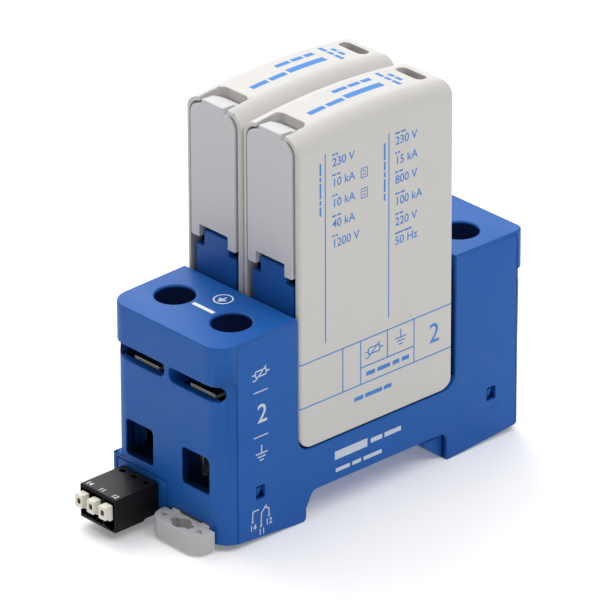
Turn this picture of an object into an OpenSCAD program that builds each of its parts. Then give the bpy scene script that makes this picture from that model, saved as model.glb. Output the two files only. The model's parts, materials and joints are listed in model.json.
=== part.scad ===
// Two-pole surge arrester for a 35 mm rail: a base with screw terminals and two plug-in modules.
// Millimetres. X runs along the rail, -Y is the end with the rail clip, z = 0 is the face on the rail.

/* [Base] */
// Width of one pole along the rail
pole_w = 18; // [17.5:0.5:20]
// Length of the base across the rail
base_len = 90; // [88:1:96]
// Length of the terminal block at the clip end
front_block = 22.3; // [22:0.1:24]
// Length of the terminal block at the far end
rear_block = 20.9; // [20.6:0.1:22]
// Height of the terminal blocks above the rail
block_top = 42.2; // [41:0.1:45]
// Rise of the front block's top towards the module
block_rise = 0.6; // [0.2:0.1:1]
// Height of the bridge under the modules
bridge_top = 10.4; // [10:0.1:11]
// Depth of the feet below the rail's face
foot_drop = 6.8; // [6.6:0.1:7.4]
// Rise of the underside of each foot towards its end, in degrees
foot_slope = 4.2; // [3:0.1:4.4]
// Radius of the upright corners at the clip end
front_corner = 5; // [3:0.5:5.5]
// Radius of the upright corners at the far end
rear_corner = 2.5; // [1.5:0.5:3]
// Thickness of the end walls
end_wall = 2; // [1.6:0.1:2.4]
// Thickness of the top of the blocks
top_wall = 3; // [2:0.1:4]
// Thickness of the wall between block and module bay
bay_wall = 1.5; // [1.2:0.1:1.7]
// Step of the end faces under the busbar slots
end_step = 0.75; // [0.3:0.05:1]
// Thickness of the side covers
cover_t = 1.7; // [1.4:0.1:1.9]
// Width of the parting line round the side covers
seam = 0.05; // [0.05:0.05:0.3]
// Thickness of the top's lip over the side covers
lid_t = 0.8; // [0.6:0.1:1]
// Length of the snap windows in the side covers
snap_len = 2.6; // [2:0.1:3]
// Height of the snap windows in the side covers
snap_h = 3.2; // [2.6:0.1:3.6]
// Height of the blue key plates behind the front block
key_top = 52.8; // [51:0.1:53]
// Width of the key plates below their tongue
key_w = 12.9; // [12:0.1:13]
// Width of the tongue of the key plates
key_tongue_w = 8; // [7:0.1:8.4]
// Height of the tongue above the shoulders of the key plate
key_tongue_h = 4; // [3:0.1:5]
// Thickness of the key plates
key_t = 1.8; // [1.4:0.1:2]

/* [Rail seat] */
// Width of the rail
rail_w = 35; // [34.5:0.1:35.5]
// Thickness of the rail
rail_t = 1; // [0.8:0.1:1.2]
// Reach of the hook and the clip under the rail's edge
hook_grip = 1.2; // [0.8:0.1:1.6]
// Play between rail and seat
rail_play = 0.3; // [0.2:0.1:0.5]

/* [Terminals] */
// Distance of the terminal screws from the ends of the base
screw_inset = 11.5; // [10.8:0.1:12]
// Radius of the screw's thread
screw_r = 3; // [2.5:0.1:3.2]
// Radius of the screw's head
head_r = 4.2; // [4:0.1:4.3]
// Height of the screw's head
head_h = 3.2; // [2.5:0.1:3.4]
// Radius of the screwdriver holes
access_r = 4.5; // [4.4:0.05:4.8]
// Width of the wire entries
entry_w = 8.7; // [8:0.1:8.8]
// Height of the wire entries
entry_h = 8.7; // [8:0.1:8.8]
// Height of the lower edge of the wire entries
entry_z = 6.2; // [6:0.1:6.4]
// Corner radius of the wire entries
entry_r = 1; // [0.5:0.1:1.5]
// Height of the busbar slots
slot_h = 3.9; // [3.6:0.1:4.2]
// Width of the divider between the busbar slots
slot_divider = 1.5; // [1.2:0.1:2]
// Width of the contact bars
bar_w = 7.9; // [7.4:0.1:8.1]
// Thickness of the contact bars
bar_t = 1.2; // [1:0.1:1.3]
// Outer width of the clamping cages
cage_w = 11; // [10.8:0.1:11.4]
// Length of the clamping cages along the wire
cage_len = 9; // [8:0.1:10]
// Thickness of the sides and the floor of the cages
cage_t = 1.1; // [1:0.05:1.15]
// Thickness of the threaded top of the cages
cage_cap = 2.4; // [2:0.1:2.6]
// Thread pitch of the terminal screws
pitch = 1; // [0.75:0.25:1]
// Turns of a terminal screw from open to closed
turns = 7; // [5:1:7]

/* [Contacts] */
// Thickness of the module blades
blade_t = 2; // [1.5:0.1:2.2]
// Width of the module blades
blade_w = 5.6; // [5:0.1:5.8]
// Length of the module blades below the module
blade_len = 7.6; // [6.5:0.1:7.7]
// Thickness of the receptacle springs
leaf_t = 0.8; // [0.6:0.05:0.9]
// Play between blade and receptacle on each side
leaf_play = 0.05; // [0.03:0.01:0.1]

/* [Rail clip] */
// Middle of the rail clip along the rail
clip_x = 7.4; // [7:0.1:8]
// Width of the clip's handle
clip_w = 16.1; // [15:0.1:16.2]
// Reach of the handle beyond the end face
clip_reach = 5.2; // [5:0.1:6]
// Thickness of the handle
clip_t = 4.6; // [4.2:0.1:4.6]
// Top of the handle below the rail's face
clip_drop = 1.6; // [1.5:0.05:1.7]
// Corner radius of the handle
clip_corner = 3.6; // [2.5:0.1:4]
// Width of the clip's tongue
tongue_w = 10; // [9:0.1:10.4]
// Width over the guide rails of the tongue
guide_w = 12; // [11.6:0.1:12.4]
// Travel of the clip when it is pulled
clip_travel = 4.5; // [3.5:0.1:5]
// Radius of the screwdriver hole in the handle
pry_r = 2.1; // [1.8:0.1:2.2]
// Length of the screwdriver slot in the handle
pry_slot_len = 6.2; // [5:0.1:6.6]
// Width of the screwdriver slot in the handle
pry_slot_w = 2; // [1.6:0.1:2.4]

/* [Signal plug] */
// Middle of the plug along the rail
plug_x = -8.5; // [-8.7:0.1:-8.3]
// Spacing of the poles of the plug
plug_pitch = 3.81; // [3.5:0.01:3.81]
// Width of the plug
plug_w = 11.4; // [11.4:0.1:11.8]
// Reach of the plug beyond the end face
plug_reach = 12.6; // [11.5:0.1:13]
// Top of the plug above the rail's face
plug_top = 3.25; // [3:0.05:3.3]
// Height of the plug
plug_h = 7.95; // [7.8:0.05:8]
// Thickness of the plug's walls
plug_wall = 0.8; // [0.7:0.05:0.8]
// Width of the openings for wires and levers
cell_w = 3; // [2.9:0.05:3]
// Height of the release levers
lever_h = 3.6; // [3.3:0.1:3.7]
// Length of the levers in front of the plug
lever_out = 2.2; // [1.8:0.1:2.4]
// Travel of the levers when they are pressed
lever_travel = 1.2; // [0.8:0.1:1.4]
// Length of the plug inside the socket
nose_len = 4.8; // [4:0.1:5]
// Radius of the socket's pins
pin_r = 0.5; // [0.4:0.05:0.6]

/* [Modules] */
// Gap between the modules and on each side of the bay
module_gap = 0.15; // [0.1:0.05:0.25]
// Gap between module and front bay wall
front_gap = 0.6; // [0.4:0.1:0.8]
// Gap between module and rear bay wall
rear_gap = 0.9; // [0.6:0.1:1.2]
// Gap between module and bridge
floor_gap = 0.45; // [0.2:0.05:0.5]
// Top of the modules above the rail's face
module_top = 85.4; // [83:0.1:90]
// Radius of the long arc of the module's top
crown_r = 165; // [140:5:220]
// Radius of the module's long top edges
edge_r = 4.5; // [3.5:0.1:5]
// Radius of the lower corners of the module's sides
heel_r = 3.5; // [2:0.1:4]
// Thickness of the module's walls
shell_t = 1.3; // [1.1:0.05:1.4]
// Thickness of the module's top
roof_t = 2.2; // [1.8:0.1:2.4]
// Clearance beside the front panel
panel_side = 0.55; // [0.4:0.05:0.9]
// Thickness of the front panel
panel_t = 2.2; // [1.8:0.1:2.2]
// Amount by which the panel stands proud of the shell
panel_proud = 0.3; // [0.1:0.05:0.4]
// Height of the panel's foot above the shoulders of the key plate
panel_foot = 2.2; // [1.5:0.1:2.6]
// Clearance between the tongue of the key plate and the panel
panel_gap = 1.2; // [0.8:0.1:1.3]
// Width of the finger tab
tab_w = 6.8; // [6:0.1:7.2]
// Width of the finger pocket
pocket_w = 9; // [8.4:0.1:9.4]
// Length of the finger pocket from the front of the module
pocket_len = 6.7; // [6:0.1:8]
// Depth of the finger pocket at its rear
pocket_depth = 2.4; // [2:0.1:2.8]
// Radius of the upright edges of the module
upright_r = 1; // [0.6:0.1:1.2]
// Radius of the top edge at the rear of the module
rear_edge_r = 1.5; // [1:0.1:2]
// Length of the indicator window along the rail
window_w = 7.7; // [7:0.1:8]
// Width of the indicator window
window_len = 3; // [2.6:0.1:3.2]
// Distance of the indicator window from the rear of the module
window_inset = 2.8; // [2.6:0.1:3.2]
// Thickness of the varistor block
varistor_t = 11; // [9:0.5:12]
// Height of the varistor block
varistor_h = 48; // [40:1:52]
// Travel of the trip flag
flag_travel = 4.2; // [3.8:0.1:4.4]

/* [Hidden] */
$fn = 64;

// Sides and ends
LEFT = -1;
RIGHT = 1;
FRONT = -1;
REAR = 1;

// Cuts run past the faces by this much
over = 1;

// Base
half_w = pole_w;
half_len = base_len / 2;
pole_x = pole_w / 2;
front_bay = half_len - front_block;
rear_bay = half_len - rear_block;
inner_x = half_w - cover_t;
end_face = half_len - end_step;
wall_y = end_face - end_wall;
screw_y = half_len - screw_inset;
ceiling = block_top - top_wall;
chamber_rim = 1;
collar_wall = 1.4;
collar_gap = 0.7;

// Side covers, with how far their front edge stands over the bay wall
cover_front = half_len - front_corner;
cover_rear = half_len - rear_corner;
bay_lap = 0.2;
snap_shift = 1.5;
snap_drop = 1.2;
snap_z = entry_z - snap_drop - snap_h / 2;
snap_play = 2 * seam;
snap_gap = 0.8;
snap_brow = 0.6;
snap_low = 0.25;
snap_high = 0.8;

// Rail seat
rail_edge = rail_w / 2;
hook_tip = rail_edge - hook_grip;
hook_room = 2.35;
hook_back = rail_edge + hook_room;
lip_top = -rail_t - rail_play;
lip_tip_t = 1.1;
seat_half = hook_tip - rail_play;
seat_relief = 0.3;
front_flare = 2.7;
rear_flare = 4.07;
foot_front = rail_edge + front_flare;
foot_rear = rail_edge + rear_flare;
foot_round = 1;
foot_heel = 1.5;
heel_dip = 0.05;
toe_front = foot_front + foot_round;
toe_rear = foot_rear + foot_round;
throat_r = 2;

// Front cheek of the rail slot, in steps outward from the rail's edge and down
cheek = [[0.1, 0], [1.1, 0.72], [front_flare, 3.81]];

// Terminals
cage_lap = 0.4;
cage_z = entry_z - cage_lap - cage_t;
bar_lap = 0.1;
bar_z = entry_z + entry_h + bar_lap;
bar_end_gap = 0.15;
bar_tip = wall_y - bar_end_gap;
tab_back = 0.4;
tab_tip = wall_y - tab_back;
tab_play = 0.4;
thread_play = 0.05;
guide_play = 0.1;
mid_wall = pole_w - cage_w - 2 * guide_play;
cap_play = 0.7;
cap_z = bar_z + bar_t + cap_play;
lift = pitch * turns;
tab_room = 1.9;
tab_z = cap_z + cage_cap + lift + tab_room + bar_t;
slot_dip = 0.3;
slot_z = tab_z - slot_dip;
slot_side = 1;
slot_flat = 0.4;
slot_r = (slot_h - slot_flat) / 2;
head_rise = 1.4;
head_z = tab_z + head_rise;
cross_reach = 0.7;
cross_half = 0.6;
cross_floor = 0.35;

// Contacts
strip_w = blade_t + 2 * (leaf_play + leaf_t);
well_play = 0.4;
well_w = strip_w + 2 * well_play;
well_z = 1.4;
well_room = 0.6;
leaf_drop = 0.6;
leaf_top = bridge_top - leaf_drop;
strip_lap = 5;
strip_top = bar_z + strip_lap;

// Signal switch in the bridge
switch_len = 12.8;
switch_t = 5.8;
switch_h = 6.4;
plunger_r = 1;
plunger_h = 1.2;
slack = 0.2;

// Modules
module_z = bridge_top + floor_gap;
module_front = front_bay - front_gap;
module_rear = rear_bay - rear_gap;
module_half = pole_w / 2 - module_gap / 2;
key_gap = 0.5;
key_back = 0.4;
key_face = module_front - key_gap;
niche_t = key_gap + key_t + key_back;
niche_half = module_half - shell_t;
niche_wall = 1.4;
code_drop = 1.5;
shoulder_z = key_top - key_tongue_h;
crown_z = module_top - crown_r;
crown_sweep = 40;
roof_inner_r = crown_r - roof_t;
brow_z = crown_z + sqrt(pow(crown_r, 2) - pow(module_front, 2));
rear_brow_z = crown_z + sqrt(pow(crown_r, 2) - pow(module_rear - rear_edge_r, 2));
brow_t = 0.9;
panel_z = shoulder_z + panel_foot;
panel_room = 0.5;
panel_top = brow_z - brow_t - panel_room;
panel_half = niche_half - panel_side;
panel_r = edge_r - shell_t - panel_side;
panel_toe = 0.5;
pocket_z = brow_z - pocket_depth;
pocket_r = 1.6;
tab_rise = 0.1;
tab_top = brow_z + tab_rise;
tab_fall = 0.15;
tab_flat = 3;
tab_tail = 0.5;
tab_root = 2;
tab_lift = 0.3;
tab_floor = pocket_z + tab_lift;
tab_rear_gap = 0.4;
tab_rear = pocket_len - tab_rear_gap;

// Inside of the modules
core_wall = 1.6;
core_play = 0.2;
core_half = niche_half;
core_floor = 2;
core_lift = 0.2;
core_z = module_z + core_lift;
core_front = module_front - niche_t - niche_wall - core_play;
core_rear = module_rear - shell_t - core_play;
blade_edge = 0.6;
blade_front_y = core_front - blade_edge - blade_w / 2;
blade_rear_y = core_rear - core_wall - blade_edge - blade_w / 2;
varistor_r = 2;
shelf_t = 2;
shelf_in = 1.1;
shelf_lap = 0.4;
flag_t = 2;
flag_gap = 0.4;
flag_lap = 0.8;
flag_hide = 0.2;
flag_wire = 0.25;
flag_turns = 4;
flag_coil_in = 0.15;
flag_coil_r = flag_t / 2 - flag_coil_in;
flag_spring_len = 5.6;
window_rear = module_rear - window_inset;
window_r = 1.2;
flag_front = window_rear - window_len - flag_travel - flag_hide;
flag_len = window_len + flag_lap;
flag_w = window_w + flag_lap;
shelf_front = flag_front - flag_spring_len - core_wall;
shelf_z = crown_z + sqrt(pow(roof_inner_r, 2) - pow(core_rear, 2)) - flag_gap - flag_t;

// Rail clip
clip_z = -clip_drop - clip_t;
flange_up = 0.5;
flange_down = 1.8;
flange_t = 2.5;
flange_top = -clip_drop + flange_up;
flange_low = -clip_drop - flange_down;
tongue_t = 3.6;
tongue_low = -clip_drop - tongue_t;
nose_gap = 0.1;
nose_top = lip_top - nose_gap;
nose_slope = 1;
clip_play = 0.15;
clip_gap = 0.15;
pry_in = 0.1;
dent_x = 5.8;
dent_r = 0.9;
dent_depth = 0.9;
spring_r = 1.3;
spring_wire = 0.35;
spring_turns = 6;
spring_block = 3.7;
spring_room = clip_travel + spring_block;
spring_bay = 1.9;
spring_end_play = 0.05;
peg_in = 6;
peg_y = half_len - peg_in;
peg_t = 1.2;
peg_lift = 0.6;

// Signal plug
cell_top = plug_top - plug_wall;
cell_sill = 0.5;
plug_bottom = plug_top - plug_h;
plug_front = end_face + plug_reach;
plug_edge = 0.3;
heel_step = 0.5;
heel_len = 4.5;
seat_gap = 0.2;
nose_in = 0.6;
nose_step = 0.9;
nose_w = plug_w - 2 * nose_in;
nose_top_z = plug_top - nose_step;
nose_bottom_z = plug_bottom + nose_step;
nose_play = 0.15;
nose_room = 0.4;
probe_half = 0.7;
probe_from = 1.4;
probe_to = 2.6;
probe_depth = 1.6;
lever_play = 0.1;
lever_side = 0.4;
lever_w = cell_w - 2 * lever_side;
lever_drop = 0.6;
lever_top = cell_top - lever_drop;
lever_z = lever_top - lever_h;
lever_len = 3.8;
lever_step = 0.55;
lever_brow = [0.9, 1.4];
eye_x = [0.75, 1.75];
eye_z = [2, 0.8];
eye_depth = 0.8;
cell_depth = lever_len + lever_travel + lever_play;
pin_z = (nose_top_z + nose_bottom_z) / 2;
pin_play = 0.3;
socket_side = 2.2;
socket_half = plug_w / 2 + socket_side;
socket_rise = 1;
socket_top = plug_top + socket_rise;
socket_under = 0.2;
socket_bottom = plug_bottom - socket_under;
socket_flange = 1.8;
socket_wall = 0.6;
socket_body = plug_w / 2 + socket_wall;
socket_depth = 11;
socket_play = 0.15;
sill_rise = 1.1;
sill_top = socket_top + sill_rise;
sill_side = 0.5;
sill_half = half_w - sill_side;

// Profile helpers

module box(x, y, z) {
    translate([x[0], y[0], z[0]])
        cube([x[1] - x[0], y[1] - y[0], z[1] - z[0]]);
}

// Profile in Y and Z, drawn out along X
module along_x(x) {
    translate([x[0], 0, 0])
        rotate([90, 0, 90])
            linear_extrude(x[1] - x[0])
                children();
}

// Profile in X and Z, drawn out along Y
module along_y(y) {
    translate([0, y[1], 0])
        rotate([90, 0, 0])
            linear_extrude(y[1] - y[0])
                children();
}

module along_z(z) {
    translate([0, 0, z[0]])
        linear_extrude(z[1] - z[0])
            children();
}

// Rectangle with four round corners
module round_rect(x, y, r) {
    translate([x[0] + r, y[0]])
        square([x[1] - x[0] - 2 * r, y[1] - y[0]]);
    translate([x[0], y[0] + r])
        square([x[1] - x[0], y[1] - y[0] - 2 * r]);
    for (cx = [x[0] + r, x[1] - r], cy = [y[0] + r, y[1] - r])
        translate([cx, cy])
            circle(r);
}

// Points of an arc about a middle, from one angle to another
function arc(middle, r, from, to) =
    let (steps = 6)
    [for (i = [0 : steps])
        let (a = from + (to - from) * i / steps)
        [middle[0] + r * cos(a), middle[1] + r * sin(a)]];

// Turns a shape made for the rear end, with y outward, to one of the two ends
module at_end(end) {
    mirror([0, end == FRONT ? 1 : 0, 0])
        children();
}

// Turns a shape made for the right side to one of the two sides
module at_side(side) {
    mirror([side == LEFT ? 1 : 0, 0, 0])
        children();
}

// Coil of round wire along Y from y = 0 to len, about the axis x = z = 0
module coil(len, r, wire, turns) {
    sides = 6;
    steps = 12;
    rings = turns * steps;
    path = [for (i = [0 : rings])
        let (a = 360 * i / steps)
        [r * cos(a), wire + (len - 2 * wire) * i / rings, r * sin(a), a]];
    points = [for (p = path, k = [0 : sides - 1])
        let (b = 360 * k / sides)
        [p[0] + wire * cos(b) * cos(p[3]), p[1] + wire * sin(b), p[2] + wire * cos(b) * sin(p[3])]];
    skin = [for (i = [0 : rings - 1], k = [0 : sides - 1], half = [0, 1])
        let (a = i * sides + k, b = i * sides + (k + 1) % sides)
        half == 0 ? [b, a, a + sides] : [b, a + sides, b + sides]];
    start = [for (k = [0 : sides - 1]) k];
    finish = [for (k = [sides - 1 : -1 : 0]) rings * sides + k];
    polyhedron(points, concat([start], skin, [finish]), convexity = 10);
}

// Base

// Outline of the base in plan, with both ends set back by a step
module base_plan(step) {
    round_rect([-half_w, half_w], [-half_len + step, front_corner], front_corner);
    round_rect([-half_w, half_w], [-rear_corner, half_len - step], rear_corner);
}

// Height of the underside at a distance outward from the toe of a foot
function foot_z(dy) = -foot_drop + dy * tan(foot_slope);

// Side profile without the rail slot
module side_profile() {
    polygon([
        [-half_len, foot_z(half_len - toe_front)],
        [-toe_front, -foot_drop],
        [toe_rear, -foot_drop],
        [half_len, foot_z(half_len - toe_rear)],
        [half_len, block_top],
        [rear_bay, block_top],
        [rear_bay, bridge_top],
        [-front_bay, bridge_top],
        [-front_bay, block_top + block_rise],
        [-half_len, block_top]]);
}

// Front side of the rail slot with the round toe of the foot
function front_cheek() = concat(
    [for (p = cheek) [-rail_edge - p[0], -p[1]]],
    arc([-toe_front, foot_round - foot_drop], foot_round, 0, -90),
    [[-toe_front, -foot_drop - over]]);

// Rail slot as the covers show it
module cover_slot() {
    throat = arc([foot_rear - throat_r, -throat_r], throat_r, 0, 90);
    polygon(concat(front_cheek(), [[foot_rear, -foot_drop - over]], throat));
}

// Rail slot between the covers, with the fixed hook at the rear and relief at the rail's edges
module frame_slot() {
    polygon(concat(front_cheek(), [
        [foot_rear, -foot_drop - over],
        [foot_rear, -foot_drop],
        [hook_tip, lip_top - lip_tip_t],
        [hook_tip, lip_top],
        [hook_back, lip_top],
        [hook_back, seat_relief],
        [seat_half, seat_relief],
        [seat_half, 0],
        [-seat_half, 0],
        [-seat_half, seat_relief],
        [-rail_edge - cheek[0][0], seat_relief]]));
}

// Opening that a side cover leaves for its module
module bay_outline() {
    round_rect(
        [-front_bay + bay_lap, rear_bay],
        [bridge_top, block_top + 2 * edge_r],
        heel_r);
}

// Step of the side where a cover lies under the lip of the top, right side
module cover_seat() {
    along_x([inner_x, half_w + over])
        polygon([
            [-cover_front, -foot_drop - over],
            [cover_rear, -foot_drop - over],
            [cover_rear, lid_z(cover_rear) + seam],
            [rear_bay, lid_z(rear_bay) + seam],
            [rear_bay - over, key_top],
            [-front_bay + over, key_top],
            [-front_bay, lid_z(-front_bay) + seam],
            [-cover_front, lid_z(-cover_front) + seam]]);
}

// Height of the underside of the lip at a place along Y
function lid_z(y) = block_top - lid_t + (y < 0 ? block_rise * (half_len + y) / front_block : 0);

// Places along Y of the snap hooks
function snap_places() = [-screw_y, screw_y + snap_shift];

// Windows of the snap hooks in Y and Z
module snap_windows() {
    for (y = snap_places())
        translate([y - snap_len / 2, snap_z])
            square([snap_len, snap_h]);
}

// Wedges on the frame that hold a cover, right side
module snap_hooks() {
    for (y = snap_places())
        translate([0, y + snap_len / 2 - snap_gap, snap_z + seam])
            rotate([90, 0, 0])
                linear_extrude(snap_len - snap_gap - snap_play)
                    polygon([
                        [inner_x - over, 0],
                        [inner_x + cover_t * snap_low, 0],
                        [inner_x + cover_t * snap_high, snap_h - snap_brow],
                        [inner_x - over, snap_h - snap_brow]]);
}

// Hollow for one terminal, rear end, right side
module chamber(bay) {
    box([mid_wall / 2, half_w + over], [bay + bay_wall, min(wall_y, cover_front)], [cage_z, ceiling]);
    box([mid_wall / 2, inner_x - chamber_rim], [bay + bay_wall, wall_y], [cage_z, ceiling]);
}

// Tube that guides the screwdriver, rear end
module collar() {
    translate([pole_x, screw_y, head_z + head_h + collar_gap])
        cylinder(r = access_r + collar_wall, h = ceiling - head_z - head_h - collar_gap + over);
}

// Openings of one terminal towards the outside, rear end, right side
module terminal_cuts() {
    translate([pole_x, screw_y, head_z])
        cylinder(r = access_r, h = block_top - head_z + block_rise + over);
    along_y([wall_y - over, half_len + over])
        round_rect(
            [pole_x - entry_w / 2, pole_x + entry_w / 2],
            [entry_z, entry_z + entry_h],
            entry_r);
    along_y([wall_y - end_wall, half_len + over])
        round_rect(
            [slot_divider / 2, half_w - slot_side],
            [slot_z, slot_z + slot_h],
            slot_r);
}

// Well for a receptacle and its way into the block, rear end, right side
module contact_well(bay, blade_y) {
    box(
        [pole_x - well_w / 2, pole_x + well_w / 2],
        [blade_y - blade_w / 2 - well_play, bay + bay_wall + bar_t + well_room],
        [well_z, bridge_top + over]);
}

// Guide for the rail clip in the front foot
module clip_way() {
    translate([clip_x, 0, 0]) {
        box([-guide_w / 2 - clip_play, guide_w / 2 + clip_play], [-half_len - over, -hook_tip],
            [flange_low - clip_play, flange_top + clip_play]);
        box([-tongue_w / 2 - clip_play, tongue_w / 2 + clip_play], [-half_len - over, -hook_tip],
            [-foot_drop - over, flange_top]);
    }
}

// Fixed peg that the clip's spring bears on
module clip_peg() {
    translate([clip_x, 0, 0])
        box([-spring_r, spring_r], [-peg_y, -peg_y + peg_t], [tongue_low + peg_lift, flange_top + over]);
}

// Square sill round the signal socket
module socket_sill() {
    intersection() {
        box([-sill_half, -sill_half + front_corner], [-end_face, -end_face + front_corner],
            [-foot_drop, sill_top]);
        along_x([-half_w, half_w])
            side_profile();
    }
}

// Hole for the signal socket
module socket_way() {
    translate([plug_x, 0, 0]) {
        box([-socket_half - socket_play, socket_half + socket_play],
            [-end_face - over, -end_face + socket_flange], [-foot_drop - over, socket_top + socket_play]);
        box([-socket_body - socket_play, socket_body + socket_play],
            [-end_face - over, -end_face + socket_depth], [-foot_drop - over, nose_top_z + socket_wall]);
    }
}

// Pocket for the signal switch in the bridge
module switch_pocket() {
    box([-switch_len / 2 - slack, switch_len / 2 + slack], [-switch_t / 2, switch_t / 2],
        [well_z, bridge_top + over]);
}

// Plate that rises in front of a module and keys it
module key_plate() {
    along_y([-key_face, -key_face + key_t])
        translate([pole_x, 0]) {
            translate([-key_w / 2, bridge_top - over])
                square([key_w, shoulder_z - bridge_top + over]);
            translate([-key_tongue_w / 2, bridge_top - over])
                square([key_tongue_w, key_top - bridge_top + over]);
        }
}

module base_body() {
    step_z = slot_z + slot_h;
    intersection() {
        along_x([-half_w, half_w])
            side_profile();
        union() {
            along_z([step_z, key_top])
                base_plan(0);
            along_z([-foot_drop - over, step_z])
                base_plan(end_step);
        }
    }
}

// Corner that is rounded off under the far end, by an arc that dips a little below the underside
module heel_cut() {
    y = end_face - foot_heel;
    z = foot_z(y - toe_rear) + foot_heel / cos(foot_slope) - heel_dip;
    reach = foot_heel + over;
    along_x([-half_w - over, half_w + over])
        translate([y, z])
            polygon(concat(
                arc([0, 0], foot_heel, 0, foot_slope - 90),
                [[reach * sin(foot_slope), -reach * cos(foot_slope)], [reach, -reach], [reach, 0]]));
}

module base_frame() {
    color("royalblue") {
        difference() {
            union() {
                base_body();
                socket_sill();
            }
            along_x([-half_w - over, half_w + over])
                frame_slot();
            heel_cut();
            for (side = [LEFT, RIGHT])
                at_side(side) {
                    cover_seat();
                    at_end(FRONT)
                        frame_cuts(front_bay, blade_front_y);
                    at_end(REAR)
                        frame_cuts(rear_bay, blade_rear_y);
                }
            clip_way();
            socket_way();
            switch_pocket();
        }
        for (side = [LEFT, RIGHT])
            at_side(side) {
                key_plate();
                snap_hooks();
            }
        clip_peg();
    }
}

// All cuts of one terminal, rear end, right side
module frame_cuts(bay, blade_y) {
    difference() {
        chamber(bay);
        collar();
    }
    terminal_cuts();
    contact_well(bay, blade_y);
}

// Side cover, right side
module cover() {
    color("royalblue")
        difference() {
            union() {
                along_x([inner_x, half_w])
                    intersection() {
                        side_profile_full();
                        translate([-cover_front + seam, -foot_drop])
                            square([cover_front + cover_rear - 2 * seam, block_top + foot_drop]);
                    }
                cage_pads();
            }
            along_x([inner_x - cage_w, half_w + over])
                cover_slot();
            along_x([inner_x - cage_w, half_w + over])
                bay_outline();
            along_x([inner_x - over, half_w + over])
                snap_windows();
        }
}

// Side profile of the covers with the bay filled
module side_profile_full() {
    polygon([
        [-half_len, foot_z(half_len - toe_front)],
        [-toe_front, -foot_drop],
        [toe_rear, -foot_drop],
        [half_len, foot_z(half_len - toe_rear)],
        [half_len, lid_z(half_len)],
        [rear_bay, lid_z(rear_bay)],
        [-front_bay, lid_z(-front_bay)],
        [-half_len, lid_z(-half_len)]]);
}

// Pads inside a cover that guide the cages
module cage_pads() {
    for (y = [-screw_y, screw_y])
        box([pole_x + cage_w / 2 + guide_play, inner_x], [y - cage_len / 2, y + cage_len / 2],
            [cage_z, tab_z - bar_t]);
}

module cover_left() {
    at_side(LEFT)
        cover();
}

module cover_right() {
    at_side(RIGHT)
        cover();
}

// Terminals, made for the rear end on the right side

module screw() {
    color("silver")
        translate([pole_x, screw_y, 0])
            difference() {
                union() {
                    translate([0, 0, bar_z + bar_t])
                        cylinder(r = screw_r, h = head_z - bar_z - bar_t);
                    translate([0, 0, head_z])
                        cylinder(r = head_r, h = head_h);
                }
                for (turn = [0, 90])
                    rotate([0, 0, turn])
                        box([-head_r * cross_reach, head_r * cross_reach], [-cross_half, cross_half],
                            [head_z + head_h * cross_floor, head_z + head_h + over]);
            }
}

module cage() {
    color("lightgray")
        translate([pole_x, screw_y, 0])
            difference() {
                box([-cage_w / 2, cage_w / 2], [-cage_len / 2, cage_len / 2], [cage_z, cap_z + cage_cap]);
                box([-cage_w / 2 + cage_t, cage_w / 2 - cage_t],
                    [-cage_len / 2 - over, cage_len / 2 + over],
                    [cage_z + cage_t, cap_z]);
                translate([0, 0, cap_z - over])
                    cylinder(r = screw_r + thread_play, h = cage_cap + 2 * over);
            }
}

// Strip bent to a C, with the busbar tab above and the clamping bar below
module bar(bay) {
    back = bay + bay_wall + bar_t;
    color("peru")
        difference() {
            along_x([pole_x - bar_w / 2, pole_x + bar_w / 2]) {
                translate([back, bar_z])
                    square([bar_t, tab_z - bar_z]);
                translate([back, bar_z])
                    square([bar_tip - back, bar_t]);
                translate([back, tab_z - bar_t])
                    square([tab_tip - back, bar_t]);
            }
            translate([pole_x, screw_y, tab_z - bar_t - over])
                cylinder(r = screw_r + tab_play, h = bar_t + 2 * over);
        }
}

// Strip from a contact bar down to a fork of two springs under the module
module receptacle(bay, blade_y) {
    back = bay + bay_wall;
    leaf_from = blade_y - blade_w / 2;
    leaf_to = blade_y + blade_w / 2;
    color("peru")
        translate([pole_x, 0, 0]) {
            box([-strip_w / 2, strip_w / 2], [back, back + bar_t], [well_z, strip_top]);
            box([-strip_w / 2, strip_w / 2], [leaf_from, back + bar_t], [well_z, well_z + leaf_t]);
            for (side = [LEFT, RIGHT])
                at_side(side)
                    box([blade_t / 2 + leaf_play, strip_w / 2], [leaf_from, leaf_to], [well_z, leaf_top]);
        }
}

module screw_front_left() { at_side(LEFT) at_end(FRONT) screw(); }
module screw_front_right() { at_side(RIGHT) at_end(FRONT) screw(); }
module screw_rear_left() { at_side(LEFT) at_end(REAR) screw(); }
module screw_rear_right() { at_side(RIGHT) at_end(REAR) screw(); }
module cage_front_left() { at_side(LEFT) at_end(FRONT) cage(); }
module cage_front_right() { at_side(RIGHT) at_end(FRONT) cage(); }
module cage_rear_left() { at_side(LEFT) at_end(REAR) cage(); }
module cage_rear_right() { at_side(RIGHT) at_end(REAR) cage(); }
module bar_front_left() { at_side(LEFT) at_end(FRONT) bar(front_bay); }
module bar_front_right() { at_side(RIGHT) at_end(FRONT) bar(front_bay); }
module bar_rear_left() { at_side(LEFT) at_end(REAR) bar(rear_bay); }
module bar_rear_right() { at_side(RIGHT) at_end(REAR) bar(rear_bay); }
module receptacle_front_left() { at_side(LEFT) at_end(FRONT) receptacle(front_bay, blade_front_y); }
module receptacle_front_right() { at_side(RIGHT) at_end(FRONT) receptacle(front_bay, blade_front_y); }
module receptacle_rear_left() { at_side(LEFT) at_end(REAR) receptacle(rear_bay, blade_rear_y); }
module receptacle_rear_right() { at_side(RIGHT) at_end(REAR) receptacle(rear_bay, blade_rear_y); }

// Rail clip

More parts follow.
